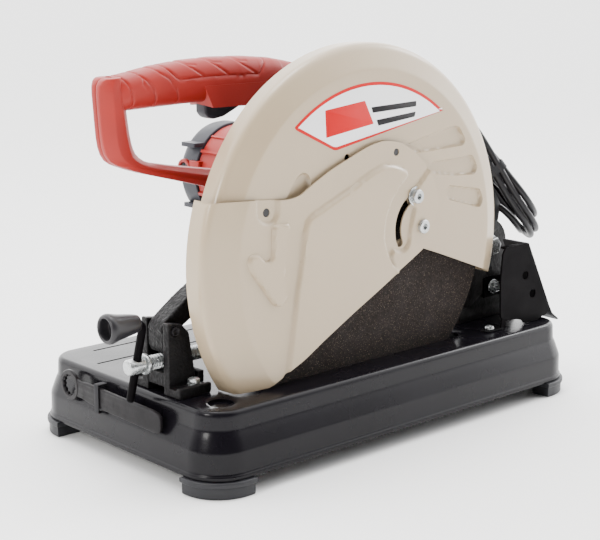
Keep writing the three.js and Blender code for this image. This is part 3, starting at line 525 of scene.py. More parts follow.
def sheet(name, outline, holes, grid, lift, thick, facing, extra=()):
    """triangulated sheet: outline and holes in a plane, lifted to 3-D by lift(points) and given its thickness"""
    loops = [outline] + list(holes) + list(extra)
    V, E = [], []
    for loop in loops:
        s = len(V)
        V += [tuple(p) for p in loop]
        E += [(s + i, s + (i + 1) % len(loop)) for i in range(len(loop))]
    G = np.array(grid, float)
    keep = inside(G, outline) & (dist(G, outline, True) > 0.8)
    for h in holes:
        keep &= ~inside(G, h) & (dist(G, h, True) > 0.6)
    for h in extra:
        keep &= dist(G, h, True) > 0.5
    V += [tuple(p) for p in G[keep]]
    vs, es, fs, *_ = delaunay_2d_cdt([Vector(v) for v in V], E, [], 0, 1e-5)
    A = np.array([tuple(v) for v in vs])
    F = np.array([tuple(f) for f in fs])
    C = A[F].mean(1)
    ok = inside(C, outline)
    for h in holes:
        ok &= ~inside(C, h)
    F = F[ok]
    used = np.unique(F)
    idx = -np.ones(len(A), int)
    idx[used] = np.arange(len(used))
    P3 = lift(A[used])
    me_faces = [tuple(int(i) for i in idx[f]) for f in F]
    n = np.cross(P3[idx[F[:, 1]]] - P3[idx[F[:, 0]]], P3[idx[F[:, 2]]] - P3[idx[F[:, 0]]]).sum(0)
    if n @ np.array(facing) < 0:
        me_faces = [f[::-1] for f in me_faces]
    o = raw(name, P3, me_faces, merge=0, recalc=False)
    s = o.modifiers.new("wall", "SOLIDIFY")
    s.thickness = thick / 1000
    s.offset = -1
    s.use_even_offset = True
    s.use_rim = True
    return apply_mods(o)


# ------------------------------------------------------------------ guards: dished sheets with pressed-in shapes
GX, GZ = -25.2, 189.8


def dish_profile(flat_r, face, pts, back):
    """(radius, y) down the dish from the middle of the flat to the rim's edge, with the running length rho"""
    prof = [(flat_r, face)] + pts
    yy = prof[-1][1]
    k = max(2, int((back - yy) / 3))
    prof += [(prof[-1][0], yy + (back - yy) * (i + 1) / k) for i in range(k)]
    rho = [flat_r]
    for (r0, y0), (r1, y1) in zip(prof, prof[1:]):
        rho.append(rho[-1] + math.hypot(r1 - r0, y1 - y0))
    return np.array(prof), np.array(rho)


def lifted(prof, rho, emboss):
    flat_r, face = prof[0]

    def lift(A):
        q = A - np.array([GX, GZ])
        s = np.hypot(q[:, 0], q[:, 1])
        r = np.where(s <= flat_r, s, np.interp(s, rho, prof[:, 0]))
        y = np.where(s <= flat_r, face, np.interp(s, rho, prof[:, 1]))
        k = np.where(s > 1e-9, r / np.maximum(s, 1e-9), 1)
        x, z = GX + q[:, 0] * k, GZ + q[:, 1] * k
        y = y - emboss(np.stack([x, z], 1))
        return np.stack([x, y, z], 1)
    return lift


def dish_outline(line, prof, rho):
    """outline points in the guard's face plane, moved out to the running length"""
    out = []
    for x, z in line:
        q = np.array([x - GX, z - GZ])
        r = np.hypot(*q)
        s = r if r <= prof[0, 0] else np.interp(r, prof[:, 0], rho)
        out.append((GX + q[0] * s / r, GZ + q[1] * s / r))
    return out


def dish_grid(rho, zmin, zmax, fine):
    g = []
    r = 4.0
    while r < rho[0] - 1:
        n = max(8, int(2 * math.pi * r / fine))
        g += arc(GX, GZ, r, 0, 360, n)[:-1]
        r += fine
    for s in rho[:-1]:
        g += arc(GX, GZ, s, 0, 360, 300)[:-1]
    for a, b in zip(rho, rho[1:]):
        if b - a > 3.2:
            g += arc(GX, GZ, (a + b) / 2, 0.6, 360.6, 300)[:-1]
    return [p for p in g if zmin < p[1] < zmax]


# fixed upper guard
UG_PROF, UG_RHO = dish_profile(168, -103.8, [(169.2, -103.7), (170.6, -103.3), (172, -102.8), (178, -100.5), (184, -98.2), (187, -97.0), (189.4, -95.7), (191.2, -94.1), (192.4, -92.0), (193, -89)], -75.2)
rmax = UG_RHO[-1]
line = [(-210.0, 176), (-60, 176), (-10, 184), (42.5, 181), (72.1, 170.4), (145.6, 142.5), (160.0, 136.7)]
line = [p for p in resample(line, 2.5, closed=False) if math.hypot(p[0] - GX, p[1] - GZ) < 192.4]
body_line = dish_outline(line, UG_PROF, UG_RHO)
def ang(p):
    return math.degrees(math.atan2(p[1] - GZ, p[0] - GX))
a_right, a_left = ang(body_line[-1]), ang(body_line[0]) % 360
ug_outline = body_line + arc(GX, GZ, rmax, a_right, a_left, 260)
ug_window = arc(38, 203.5, 40, 119, 204, 26) + arc(38, 203.5, 20.5, 204, 119, 22)
ug_holes = [circle(-58.7, 278.9, 3.6, 24), circle(38, 203.5, 4.4, 20), circle(28.8, 234.1, 4.4, 20), ug_window]
rib1 = smooth_poly([(17.2, 284.5), (88.5, 297.8), (96.5, 296), (106.6, 282), (103.5, 276.6), (40.0, 274.5), (20, 276)], 4)
rib2 = smooth_poly([(51.5, 259), (57, 264.4), (117.5, 266.2), (125.8, 252.5), (122.5, 245.2), (92, 247), (58, 252.2), (52, 254.5)], 4)
rib3 = smooth_poly([(80.4, 235), (83.5, 238.6), (129.8, 230.4), (136.2, 218.5), (132.2, 210.8), (126, 211.2), (84, 223.2), (80.8, 226.5)], 4)
tear = smooth_poly([(-139, 238), (-134.5, 248), (-128.4, 258), (-120.6, 268), (-113.5, 271.4), (-106.8, 268.6), (-103.4, 261.5), (-105, 254), (-112, 247), (-124, 240)], 4)


def ug_emboss(P):
    return (pad(P, rib1, -3.4, 1.5) + pad(P, rib2, -3.4, 1.5) + pad(P, rib3, -3.4, 1.5) + pad(P, tear, -3.4, 1.6))


fine = 1.9
grid = dish_grid(UG_RHO, 130, 400, fine)
extra = [resample(k, 1.8) for k in (rib1, rib2, rib3, tear)]
upper = sheet("upper_guard_shell", ug_outline, ug_holes, grid, lifted(UG_PROF, UG_RHO, ug_emboss), 1.8, (0, -1, 0), extra=extra)
finish(upper, "beige", "arm", ["upper_guard"], angle=50)

# movable guard
FL_PROF, FL_RHO = dish_profile(166, -108.5, [(167.2, -108.4), (168.6, -108.1), (170, -107.7), (176, -106.1), (184, -104.0), (192, -101.9), (196, -100.8), (198.2, -99.9), (199.8, -98.6), (200.9, -96.8), (201.5, -94)], -76.2)
flap_pts = [(-215.5, 253.5), (-178.6, 252.8), (-138, 249), (-128, 249.6), (-120, 251.5), (-107.8, 258.4), (-83.1, 270.5), (-57.8, 279.8), (-31.8, 289), (-11.9, 291.8), (10, 287.6), (28.2, 277.6), (44.2, 262.8),
            (54.7, 247), (59.5, 231.5), (59.8, 221.5), (55.8, 209), (52.5, 200.2), (44.4, 188.5), (39.3, 181), (18.2, 170), (5.7, 163.9), (-16.2, 152.3), (-56.2, 132.4), (-94.9, 112.1),
            (-120, 97.7), (-140.9, 89.5), (-158, 79.4), (-193.6, 79.4)]
fl = smooth_poly(flap_pts[:-2] + [(-158, 60), (-300, 60), (-300, 253.5)], 9, 4)
fl = [p for p in fl if p[0] > -214 and p[1] > 82]
i0 = min(range(len(fl)), key=lambda i: abs(fl[i][0] + 215.5) + abs(fl[i][1] - 253.5))
fl = [(-214.4, 253.5)] + fl[i0:] + fl[:i0]
fl = [p for p in fl if not (p[0] < -150 and p[1] < 90)] + [(-158.0, 78.6), (-175, 77.9), (-191.6, 77.5)]
fl = [p for p in resample(fl, 2.5, closed=False) if math.hypot(p[0] - GX, p[1] - GZ) < 201.2]
# keep the run from the upper left corner round to the lower left corner
fo = dish_outline(fl, FL_PROF, FL_RHO)
a_first, a_last = ang(fo[0]) % 360, ang(fo[-1]) % 360
flap_outline = fo + arc(GX, GZ, FL_RHO[-1], a_last, a_first, 90)
px, pz = 38, 203.5
slot = arc(px, pz, 36.1, 100, 204, 26) + arc(px + 32 * math.cos(math.radians(204)), pz + 32 * math.sin(math.radians(204)), 4.1, 204, 384, 8)[1:-1] + arc(px, pz, 27.9, 204, 100, 26)
fl_holes = [slot, circle(28.8, 234.1, 3.4, 16), circle(38, 203.5, 3.3, 16), circle(1.9, 279.3, 3.6, 20), circle(-159.2, 239.8, 4, 20)]
fl_holes = [slot, circle(38, 203.5, 3.3, 16), circle(1.9, 279.3, 3.6, 20), circle(-159.2, 239.8, 4, 20)]
panel = smooth_poly([(-150, 62), (-139.3, 86.7), (-133.9, 120), (-128, 160), (-122.9, 186.4), (-118, 218), (-115.2, 227.7), (-107.4, 232.6), (-65.8, 249.0), (-31.2, 264.6), (-15.9, 269.1), (-3.8, 268.0), (13.8, 262.4),
                     (18.9, 256.4), (14.0, 251.4), (5.4, 244.9), (-4.9, 232.5), (-12.0, 216.1), (-13.8, 199.0), (-9.1, 183.4), (-1.9, 172.3), (8, 158), (0, 120)], 6)
arrow = smooth_poly([(-155.2, 228.5), (-134.2, 228.5), (-135.0, 219.8), (-139.2, 200.6), (-140.6, 177.4), (-137.6, 158.5), (-144, 152.6), (-154, 154.5), (-167.1, 171.6), (-181.0, 189.3), (-184.6, 198.5), (-180.9, 205.0),
                     (-171.3, 205.2), (-164.2, 198.2), (-159.5, 196.3), (-156.8, 199.2), (-155.6, 210.7)], 4)
pocket = smooth_poly([(-172.5, 258), (-172.5, 239), (-168.4, 231.5), (-159.3, 227.6), (-150, 230.1), (-146.2, 237.4), (-145.5, 258)], 4)
boss = smooth_poly([(50, 262), (39, 252), (33, 246), (24, 240), (20, 231), (27, 224), (24, 214), (20.6, 202), (19.5, 190), (14.4, 183.2), (6.7, 182.4), (-1.5, 186.4), (-6, 180), (6, 150), (70, 175), (75, 230)], 4)


def fl_emboss(P):
    h = pad(P, panel, 3.6, 2.8) + pad(P, arrow, 3.3, 1.7) + pad(P, pocket, -2.8, 2.0) + pad(P, boss, 2.7, 1.8)
    return h


grid = dish_grid(FL_RHO, 75, 300, fine)
extra = [resample(k, 1.8) for k in (arrow,)]
flap = sheet("lower_guard_shell", flap_outline, fl_holes, grid, lifted(FL_PROF, FL_RHO, fl_emboss), 1.6, (0, -1, 0), extra=extra)
finish(flap, "beige", "flap", ["lower_guard"], angle=50)


for nm_, hx_, hz_, hr_ in (("hole_plug_upper", 1.9, 279.3, 3.5), ("hole_plug_left", -159.2, 239.8, 3.9)):
    finish(lathe(nm_, [(0, -108.0 if hx_ > 0 else -105.4), (hr_ - 0.5, -108.0 if hx_ > 0 else -105.4), (hr_, -107.5 if hx_ > 0 else -104.9), (hr_, -104.6), (0, -104.6)], "Y", (hx_, hz_), 32), "bplastic", "flap", angle=40)


# label: plain sticker with an abstract mark, no lettering
def sector(grow):
    r = 157 + grow
    pts = arc(GX, GZ, r, 129 + grow * 0.35, 52 - grow * 0.35, 60)
    low = [(72.5 + grow * 0.4, 314.0 - grow * 0.9), (-74.1, 286.8 - grow), (-121.5 - grow, 309.3 - grow * 0.6)]
    return smooth_poly([pts[0]] + pts[1:-1] + [pts[-1]] + low, 4.0, 5)


def sticker(name, poly, y, thick, mat):
    o = plate(name, poly, "XZ", y - thick, y, bevel=thick * 0.3, res=1)
    return finish(o, mat, "arm", angle=30)


sticker("label_border", sector(0), -103.85, 0.12, "labelred")
sticker("label_field", sector(-3.0), -103.95, 0.1, "white")
# generic mark: a solid parallelogram with two plain dark bars beside it
sticker("label_block", smooth_poly([(-85.5, 299.6), (-24.7, 308), (-36.4, 330.2), (-87, 324.6)], 1.0), -104.03, 0.08, "labelred")
sticker("label_bar_high", smooth_poly([(-26, 318.2), (33, 320.4), (33, 325.6), (-28, 323.6)], 1.0), -104.03, 0.08, "labeldark")
sticker("label_bar_low", smooth_poly([(-18.5, 305.6), (31, 310.6), (32.5, 315.4), (-21, 311.2)], 1.0), -104.03, 0.08, "labeldark")

# back plate and wheel
o = plate("guard_inner_plate", [p for p in arc(GX, GZ, 190, 344, 196, 150) if p[1] > 142] + [(-92, 176), (-92, 141), (30, 141), (60, 150)], "XZ", -74.9, -72.9,
          holes=[circle(-23.5, 194, 42, 60)], bevel=0.3, res=1)
finish(o, "beige", "arm", ["guard_back_plate"])
wheel = lathe("grinding_disc", [(13, -89.8), (13, -86.6), (60, -86.6), (174.4, -86.6), (175, -87.2), (175, -89.2), (174.4, -89.8), (60, -89.8)], "Y", (-23.5, 194), 200)
finish(wheel, "abrasive", "wheel", ["abrasive_wheel"])
finish(lathe("flange_outer", [(8.9, -95), (13.6, -95), (15, -94.7), (30, -93.4), (35.2, -92.6), (36, -92.0), (36, -90.4), (35.7, -90.1), (8.9, -90.1)], "Y", (-23.5, 194), 72), "steel", "wheel", ["outer_flange"])
finish(lathe("flange_inner", [(8.9, -89.7), (12.4, -89.7), (12.4, -86.3), (36, -86.3), (36, -83), (20, -83), (20, -80), (10.5, -80), (10.5, -83), (8.9, -83.2)], "Y", (-23.5, 194), 72), "steel", "wheel", ["inner_flange"])


def hexagon(af, cx, cz, ch=0):
    return arc(cx, cz, af / math.sqrt(3), ch, ch + 360, 6)[:-1]


def socket_screw(name, x, z, body, node):
    head = lathe(name, [(0, -111.8), (3.0, -111.9), (3.1, -114.3), (6.1, -114.5), (6.8, -113.9), (6.9, -110.2), (6.9, -110.0), (9.4, -109.9), (9.6, -109.5), (9.4, -108.9), (2.9, -108.8), (2.9, -101.2),
                        (5.6, -101.2), (5.6, -97.4), (0, -97.2)], "Y", (x, z), 40, ridges=lambda t, a: 0.018 * math.cos(20 * t) if -113.8 < a < -110.1 else 0)
    return finish(head, "zinc", body, [node], angle=30)


socket_screw("guard_pivot_screw", 38, 203.5, "arm", "guard_pivot_bolt")
socket_screw("guard_guide_screw", 28.8, 234.1, "arm", "guard_guide_bolt")

# ------------------------------------------------------------------ base
HX, HY, BR = 251.8, 141.85, 38


def base_ring(inset, z, n=14):
    r = max(5, BR - inset)
    hx, hy = HX - inset, HY - inset
    pts = []
    for cx, cy, a in ((hx - r, -hy + r, -90), (hx - r, hy - r, 0), (-hx + r, hy - r, 90), (-hx + r, -hy + r, 180)):
        pts += [(cx + r * math.cos(math.radians(a + 90 * i / n)), cy + r * math.sin(math.radians(a + 90 * i / n)), z) for i in range(n + 1)]
    return pts


prof = [(14.4, 76.5), (13.2, 76.42), (12.0, 76.0), (10.9, 75.1), (10.1, 73.9), (9.6, 72.2), (9.4, 70), (9.2, 66), (9.0, 61), (8.8, 59.2), (8.4, 57.9), (7.6, 56.4), (5.4, 50.9), (3.4, 45.4), (2.4, 42.6), (1.9, 41),
        (1.7, 39), (1.55, 30), (1.4, 22.6), (1.2, 21.2), (0.6, 20.6), (0.1, 20.0), (0, 19.2), (0, 17.2), (0.2, 16.3)]
rings = [base_ring(a, z) for a, z in prof]
k = len(rings[0])
top_pts = [(p[0], p[1]) for p in rings[0]]
slotB = stadium(-158, -88.2, 112, -88.2, 7.5)
holeB = circle(-212, -104.5, 12, 36)
fs = arc(48, -40, 104.4, 93, 42, 24) + arc(48, -40, 93.6, 42, 93, 24)
boltB = circle(48, -40, 5.2, 20)
grooves = [[(-201, 110), (108, 110)], [(-224, 69), (108, 69)]]
g_extra = []
for (x0, y0), (x1, y1) in grooves:
    for h in (1.5, 0.7):
        g_extra.append(resample(stadium(x0, y0, x1, y1, h, 6), 8))
gridB = [(x, y) for x in np.arange(-236, 237, 9) for y in np.arange(-126, 127, 9)]


def base_lift(A):
    z = np.full(len(A), 76.5)
    for g in grooves:
        z = z - 1.3 * sstep((1.5 - dist(A, g)) / 0.9)
    # the pressing turns down a little round the wheel slot and the round hole
    z = z - 0.9 * sstep(1 - dist(A, slotB, True) / 3.0) - 0.9 * sstep(1 - dist(A, holeB, True) / 3.0)
    return np.stack([A[:, 0], A[:, 1], z], 1)


near = [resample(stadium(-158, -88.2, 112, -88.2, 7.5 + d), 6) for d in (1.2, 3.0)] + [circle(-212, -104.5, 12 + d, 36) for d in (1.2, 3.0)]
loops = [top_pts, slotB, holeB, fs, boltB] + g_extra + near
V, E = [], []
for lp in loops:
    s = len(V)
    V += [tuple(p) for p in lp]
    E += [(s + i, s + (i + 1) % len(lp)) for i in range(len(lp))]
G = np.array(gridB, float)
okg = inside(G, top_pts) & (dist(G, top_pts, True) > 4)
for h in (slotB, holeB, fs, boltB):
    okg &= ~inside(G, h) & (dist(G, h, True) > 4.5)
for g in grooves:
    okg &= dist(G, g) > 3.5
V += [tuple(p) for p in G[okg]]
vs, es, fcs, *_ = delaunay_2d_cdt([Vector(v) for v in V], E, [], 0, 1e-5)
A = np.array([tuple(v) for v in vs])
F = np.array([tuple(f) for f in fcs])
C = A[F].mean(1)
ok = inside(C, top_pts)
for h in (slotB, holeB, fs, boltB):
    ok &= ~inside(C, h)
F = F[ok]
P3 = base_lift(A)
verts = [tuple(p) for p in P3]
faces = [tuple(int(i) for i in f) for f in F]
off = len(verts)
for rg in rings:
    verts += rg
for i in range(len(rings) - 1):
    for j in range(k):
        a, b = off + i * k + j, off + i * k + (j + 1) % k
        faces.append((a, a + k, b + k, b))
shell = raw("base_pressing", verts, faces, merge=1e-3, recalc=False)
bm = bmesh.new()
bm.from_mesh(shell.data)
loose = [v for v in bm.verts if not v.link_faces]
bmesh.ops.delete(bm, geom=loose, context="VERTS")
bmesh.ops.recalc_face_normals(bm, faces=bm.faces)
up = sum(f.normal.z * f.calc_area() for f in bm.faces if f.calc_center_median().z > 0.0755)
if up < 0:
    bmesh.ops.reverse_faces(bm, faces=bm.faces)
bm.to_mesh(shell.data)
bm.free()
md = shell.modifiers.new("wall", "SOLIDIFY")
md.thickness = 0.003
md.offset = -1
md.use_rim = True
apply_mods(shell)
finish(shell, "base", "base", ["base_casting"], angle=40)
ribs = [plate("rib_front", [(-128, 31), (-110, 30), (108, 30), (128, 31), (128, 73), (-128, 73)], "YZ", -119, -115, bevel=0.6), plate("rib_rear", [(-71, 31), (126, 31), (126, 73), (-71, 73)], "YZ", 141, 145, bevel=0.6)]
for sx in (-1, 1):
    for sy in (-1, 1):
        ribs.append(lathe("boss", [(0, 16.2), (5, 16.2), (5, 30), (7, 30), (7, 16.2), (12, 16.2), (12.6, 18), (13, 73), (0, 73)], "Z", (sx * 212, sy * 103), 36))
finish(join("base_ribs", ribs), "base", "base", angle=35)

# rubber feet
for nm, sx, sy in (("foot_front_right", -1, -1), ("foot_front_left", -1, 1), ("foot_rear_right", 1, -1), ("foot_rear_left", 1, 1)):
    X, Y, R = HX + 3, HY + 3, BR + 3

    def pad_outline(d):
        pts = [(X - d, Y - 47 + d)] + arc(X - R, Y - R, R - d, 0, 90, 14) + [(X - 51 + d, Y - d), (X - 51 + d, Y - 24 + d * 0.6), (X - 28 + d * 0.6, Y - 47 + d)]
        return [(sx * a, sy * b) for a, b in pts]
    lower = plate(nm + "_tread", pad_outline(1.6), "XY", 0, 11.4, bevel=1.4, res=3)
    lip = plate(nm + "_lip", pad_outline(0), "XY", 10.6, 15.8, bevel=1.3, res=3)
    finish(join(nm + "_pad", [lower, lip]), "rubber", "base", [nm])

# ------------------------------------------------------------------ vise
VY, VZ = -42, 105
ear = smooth_poly([(-237, 76.8), (-204.6, 76.8), (-206.2, 86), (-213.2, 131.6), (-221.4, 141.0), (-237, 143.6)], 1.0)
parts = [plate("e1", ear, "XZ", VY - 20, VY - 12, holes=[circle(-229, 135.5, 4.3, 24)], bevel=0.9), plate("e2", ear, "XZ", VY + 12, VY + 20, holes=[circle(-229, 135.5, 4.3, 24)], bevel=0.9),
         plate("fp1", rrect(-218.5, VY - 23.5, 37, 23, 3), "XY", 76.8, 84.2, holes=[circle(-214, VY - 26.4, 4.4, 20)], bevel=1.0),
         plate("fp2", rrect(-218.5, VY + 23.5, 37, 23, 3), "XY", 76.8, 84.2, holes=[circle(-214, VY + 26.4, 4.4, 20)], bevel=1.0),
         plate("lip1", rrect(-218.5, VY - 32.5, 37, 5, 2), "XY", 78, 86.6, bevel=1.6, res=3), plate("lip2", rrect(-218.5, VY + 32.5, 37, 5, 2), "XY", 78, 86.6, bevel=1.6, res=3),
         plate("nt", [(-236, 83.5), (-199.5, 83.5), (-203, 96.3), (-236, 96.3)], "XZ", VY - 12.6, VY + 12.6, bevel=0.8),
         plate("bk", [(VY - 20, 83), (VY + 20, 83), (VY + 20, 94), (VY - 20, 94)], "YZ", -204, -197, bevel=0.8)]
br = voxel(join("vise_bracket_cast", parts), 0.62, 2)
# rough cast skin
tex = bpy.data.textures.new("cast_skin", "CLOUDS")
tex.noise_scale = 0.0022
tex.noise_depth = 3
md = br.modifiers.new("skin", "DISPLACE")
md.texture, md.strength, md.mid_level = tex, 0.0006, 0.5
md.texture_coords = "LOCAL"
apply_mods(br)
finish(br, "cast", "base", ["vise_bracket"], angle=60)
for nm, s in (("vise_bolt_right", -1), ("vise_bolt_left", 1)):
    y0 = VY + s * 26.4
    h = plate(nm + "_h", hexagon(9.5, -214, y0, 15), "XY", 86, 91, bevel=0.7)
    w = lathe(nm + "_w", [(0, 84.5), (6, 84.5), (6.2, 84.8), (6.2, 86.0), (5.9, 86.2), (0, 86.2)], "Z", (-214, y0), 40)
    t = lathe(nm + "_s", [(0, 77.2), (3.6, 77.2), (3.8, 77.6), (3.8, 85), (0, 85)], "Z", (-214, y0), 24)
    finish(join(nm + "_set", [h, w, t]), "zinc", "base", [nm])
pin = lathe("lever_pin_rivet", [(0, VY - 20.2), (1.8, VY - 20.4), (2.6, VY - 21.4), (3.4, VY - 21.6), (3.9, VY - 21.0), (3.9, VY + 20.4), (5.6, VY + 20.6), (5.6, VY + 22.4), (5.0, VY + 23), (0, VY + 23)], "Y", (-229, 135.5), 32)
finish(pin, "wrench", "base", ["lever_pin"])


def lev(s, n):
    a = 0.585
    return (-229 + s * math.cos(a) - n * math.sin(a), 135.5 + s * math.sin(a) + n * math.cos(a))


armp = smooth_poly([lev(-4, -8), lev(34, -9.5), lev(52, -8), lev(64, -4), lev(66, 2), lev(60, 8), lev(30, 9.5), lev(0, 8.4), lev(-7, 5), lev(-8, -2)], 3)
lv = [plate("la", armp, "XZ", VY - 10.5, VY + 10.5, holes=[circle(-229, 135.5, 4.25, 24)], bevel=1.6, res=3),
      plate("ln", smooth_poly([(-236, 134), (-222, 131), (-212, 118), (-210, 113.6), (-233.5, 113.6), (-236, 120)], 1.5), "XZ", VY - 11.2, VY + 11.2, bevel=1.0)]
lo = voxel(join("release_lever_cast", lv), 0.65, 2)
md = lo.modifiers.new("skin", "DISPLACE")
md.texture, md.strength, md.mid_level = tex, 0.0008, 0.5
md.texture_coords = "LOCAL"
apply_mods(lo)
finish(lo, "cast", "lever", ["release_lever"], angle=60)

# screw with its real thread
head = lathe("sh", [(0, -268), (5.6, -268), (6.6, -267.5), (7.2, -266.6), (7.2, -251.4), (6.2, -250.9), (6.0, -250.4), (9.0, -250.1), (9.4, -249.6), (9.4, -246.8), (9.0, -246.3), (5.4, -245.9), (5.2, -243.4), (0, -243.4)], "X", (VY, VZ), 48)
hole = []
tlt = 0.29
dr = Vector((0, -math.sin(tlt), math.cos(tlt)))
cutter = tube("rod_hole", [tuple(Vector((-258, VY, VZ)) + dr * s) for s in (-16, 16)], 4.1, 32)
boolean(head, [cutter])
pitch, n_a, per = 3.0, 40, 9
nrow = int((245.4 - 108) / pitch * per)
verts, faces = [], []
for i in range(nrow + 1):
    x = -245.4 + (245.4 - 108) * i / nrow
    for j in range(n_a):
        t = 2 * math.pi * j / n_a
        ph = ((x / pitch) + j / n_a) % 1.0
        tri = 1 - abs(2 * ph - 1)
        h = min(1.0, max(0.0, (tri - 0.22) / 0.42))
        fade = min(1.0, (x + 245.4) / 1.5, (-108 - x) / 1.5)
        r = 5.3 + 1.5 * h * max(0, fade)
        verts.append((x, VY + r * math.cos(t), VZ + r * math.sin(t)))
for i in range(nrow):
    for j in range(n_a):
        l = (j + 1) % n_a
        faces.append((i * n_a + j, i * n_a + l, (i + 1) * n_a + l, (i + 1) * n_a + j))
faces.append(tuple(range(n_a))[::-1])
faces.append(tuple(nrow * n_a + j for j in range(n_a)))
thread = raw("th", verts, faces)
tip = lathe("tp", [(0, -109), (5, -109), (5, -94.4), (4.2, -93.6), (0, -93.6)], "X", (VY, VZ), 32)
finish(join("vise_screw_threaded", [head, thread, tip]), "zinc", "screw", ["vise_screw"], angle=40)


def rod(s, dx=0.0):
    return (-258 + dx, VY + dr.y * s, VZ + dr.z * s)


rp = catmull([rod(-37), rod(-12), rod(12), rod(28.5), rod(37, -0.15), rod(41.2, -1.6), rod(44, -4.8), rod(45, -9.5), rod(45, -16), rod(45, -31)], 0.8)
rr = [3.75] * len(rp)
rr[0], rr[1] = 2.9, 3.5
finish(tube("crank_bar", rp, 3.75, 28, radii=rr), "black", "screw", ["crank_rod"], angle=50)
kx, ky, kz = rod(45)
kp = [(6.3, 0), (6.9, 0), (7.4, 0.5), (7.9, 2.0), (8.8, 6), (10.0, 14), (11.2, 23), (12.2, 28.6), (13.0, 32.2), (13.5, 35.2), (13.45, 37.2), (12.9, 39.2), (11.9, 40.4), (10.9, 40.8), (10.0, 40.4), (9.5, 39.2), (9.1, 36), (8.8, 30), (8.2, 29.2),
      (5.0, 29), (5.0, 6)]
finish(lathe("crank_handle_knob", [(r, kx - 6.2 - a * 0.85) for r, a in kp], "X", (ky, kz), 72), "bplastic", "knob", ["crank_knob"], angle=45)
soften("vise_jaw", width=0.9)

# ------------------------------------------------------------------ fence, wrench, clip
soften("fence_plate", width=0.9, segs=3)
for nm, yy, bd in (("fence_bolt_pivot", -40, "base"), ("fence_bolt_lock", 59, "fence")):
    a = lathe(nm + "_a", [(0, 83.4), (8.6, 83.4), (9, 83.8), (9, 85.0), (8.7, 85.4), (0, 85.4)], "Z", (48, yy), 44)
    b = plate(nm + "_b", hexagon(15, 48, yy), "XY", 85.3, 92, bevel=0.9)
    c = lathe(nm + "_c", [(0, 64), (4.3, 64), (4.8, 64.6), (4.8, 84), (0, 84)], "Z", (48, yy), 28)
    d = plate(nm + "_d", hexagon(15, 48, yy, 10), "XY", 65.8, 72.8, bevel=0.8)
    finish(join(nm + "_set", [a, b, c, d]), "zinc", bd, [nm])

tooth = []
for i in range(12):
    for f, r in ((0, 8.9), (0.25, 10.2), (0.5, 10.2), (0.75, 8.9)):
        t = 2 * math.pi * (i + f) / 12
        tooth.append((75.5 + r * math.cos(t), 59.5 + r * math.sin(t)))
ringpts = arc(75.5, 59.5, 15, 208, -28 + 360 - 208 + 208 - 0, 1)
wo = arc(75.5, 59.5, 15, -145, 148, 40) + [(57, 66.6), (48, 67.8), (30, 67.7), (-20, 67.1), (-58, 66.6), (-66, 65.4), (-69.4, 62.6), (-70.2, 58.5), (-70, 51.5), (-69, 48.2), (-65.5, 46.4), (-58, 46), (-20, 46.7), (20, 47.6), (40, 48.6), (56, 50.6)]
w = plate("box_wrench", smooth_poly(wo, 1.5, 3), "YZ", -253.5, -250.2, holes=[tooth], bevel=0.8, res=3)
lipr = lathe("wrench_lip", [(11.2, -253.9), (14.2, -253.9), (14.6, -253.5), (14.6, -253.2), (11.0, -253.2), (11.0, -253.6)], "X", (75.5, 59.5), 64)
finish(join("box_wrench_set", [w, lipr]), "wrench", "base", ["wrench"], angle=35)
soften("wrench_clip", width=0.3)

# ------------------------------------------------------------------ pedestal, pivot, stop, lock pin
soften("pivot_pedestal", width=1.4, segs=3, angle=40)
sp = [lathe("a", [(0, -67), (9, -67), (9, 27), (0, 27)], "Y", (193, 157), 48),
      lathe("b", [(0, -68.4), (11.2, -68.4), (11.6, -68), (11.6, -66.8), (11.2, -66.4), (0, -66.4)], "Y", (193, 157), 48), plate("c", hexagon(17, 193, 157, 10), "XZ", -75, -68.2, bevel=1.0, res=3),
      lathe("d", [(0, 22.4), (11.2, 22.4), (11.6, 22.8), (11.6, 24), (11.2, 24.4), (0, 24.4)], "Y", (193, 157), 48), plate("e", hexagon(17, 193, 157, 20), "XZ", 24.3, 32, bevel=1.0, res=3)]
finish(join("pivot_bolt_set", sp), "zinc", "base", ["pivot_shaft"])
# torsion spring as a wound wire inside the room of its solid
coil = []
for i in range(0, 6 * 28 + 1):
    t = 2 * math.pi * i / 28
    coil.append((193 + 17.2 * math.cos(t), -18.4 + 4.1 * i / 28 * 0.97, 157 + 17.2 * math.sin(t)))
coil += [(193 + 17.6, 5.2, 152), (193 + 19.5, 5.0, 144), (193 + 28, 4.6, 137.5), (193 + 35, 4.5, 137)]
finish(tube("torsion_spring", coil, 1.9, 10), "steel", "base", ["arm_spring"], angle=60)
st = [lathe("a", [(0, 77), (4.6, 77), (5, 77.6), (5, 122.4), (0, 122.4)], "Z", (155, -36.5), 32, ridges=None), plate("b", hexagon(15, 155, -36.5), "XY", 122, 128.4, bevel=0.9)]
finish(join("stop_bolt_set", st), "zinc", "base", ["depth_stop_bolt"])
finish(plate("stop_nut_part", hexagon(16, 155, -36.5, 12), "XY", 92.4, 99, holes=[circle(155, -36.5, 5.3, 28)], bevel=0.8), "zinc", "base", ["depth_stop_nut"])
finish(lathe("lock_pin_knurled", [(0, -20.4), (4.2, -20.4), (5, -19.4), (5, 3.4), (8.4, 3.5), (9, 4.2), (9, 12.2), (8.3, 13), (0, 13)], "Y", (146, 142), 60, ridges=lambda t, a: 0.02 * math.cos(30 * t) if 4 < a < 12.4 else 0), "zinc", "pin", ["lock_pin"], angle=30)


# ------------------------------------------------------------------ spark deflector
def sx_at(z):
    return 203.6 + ((164.6 - z) * 58.4) / 85.6


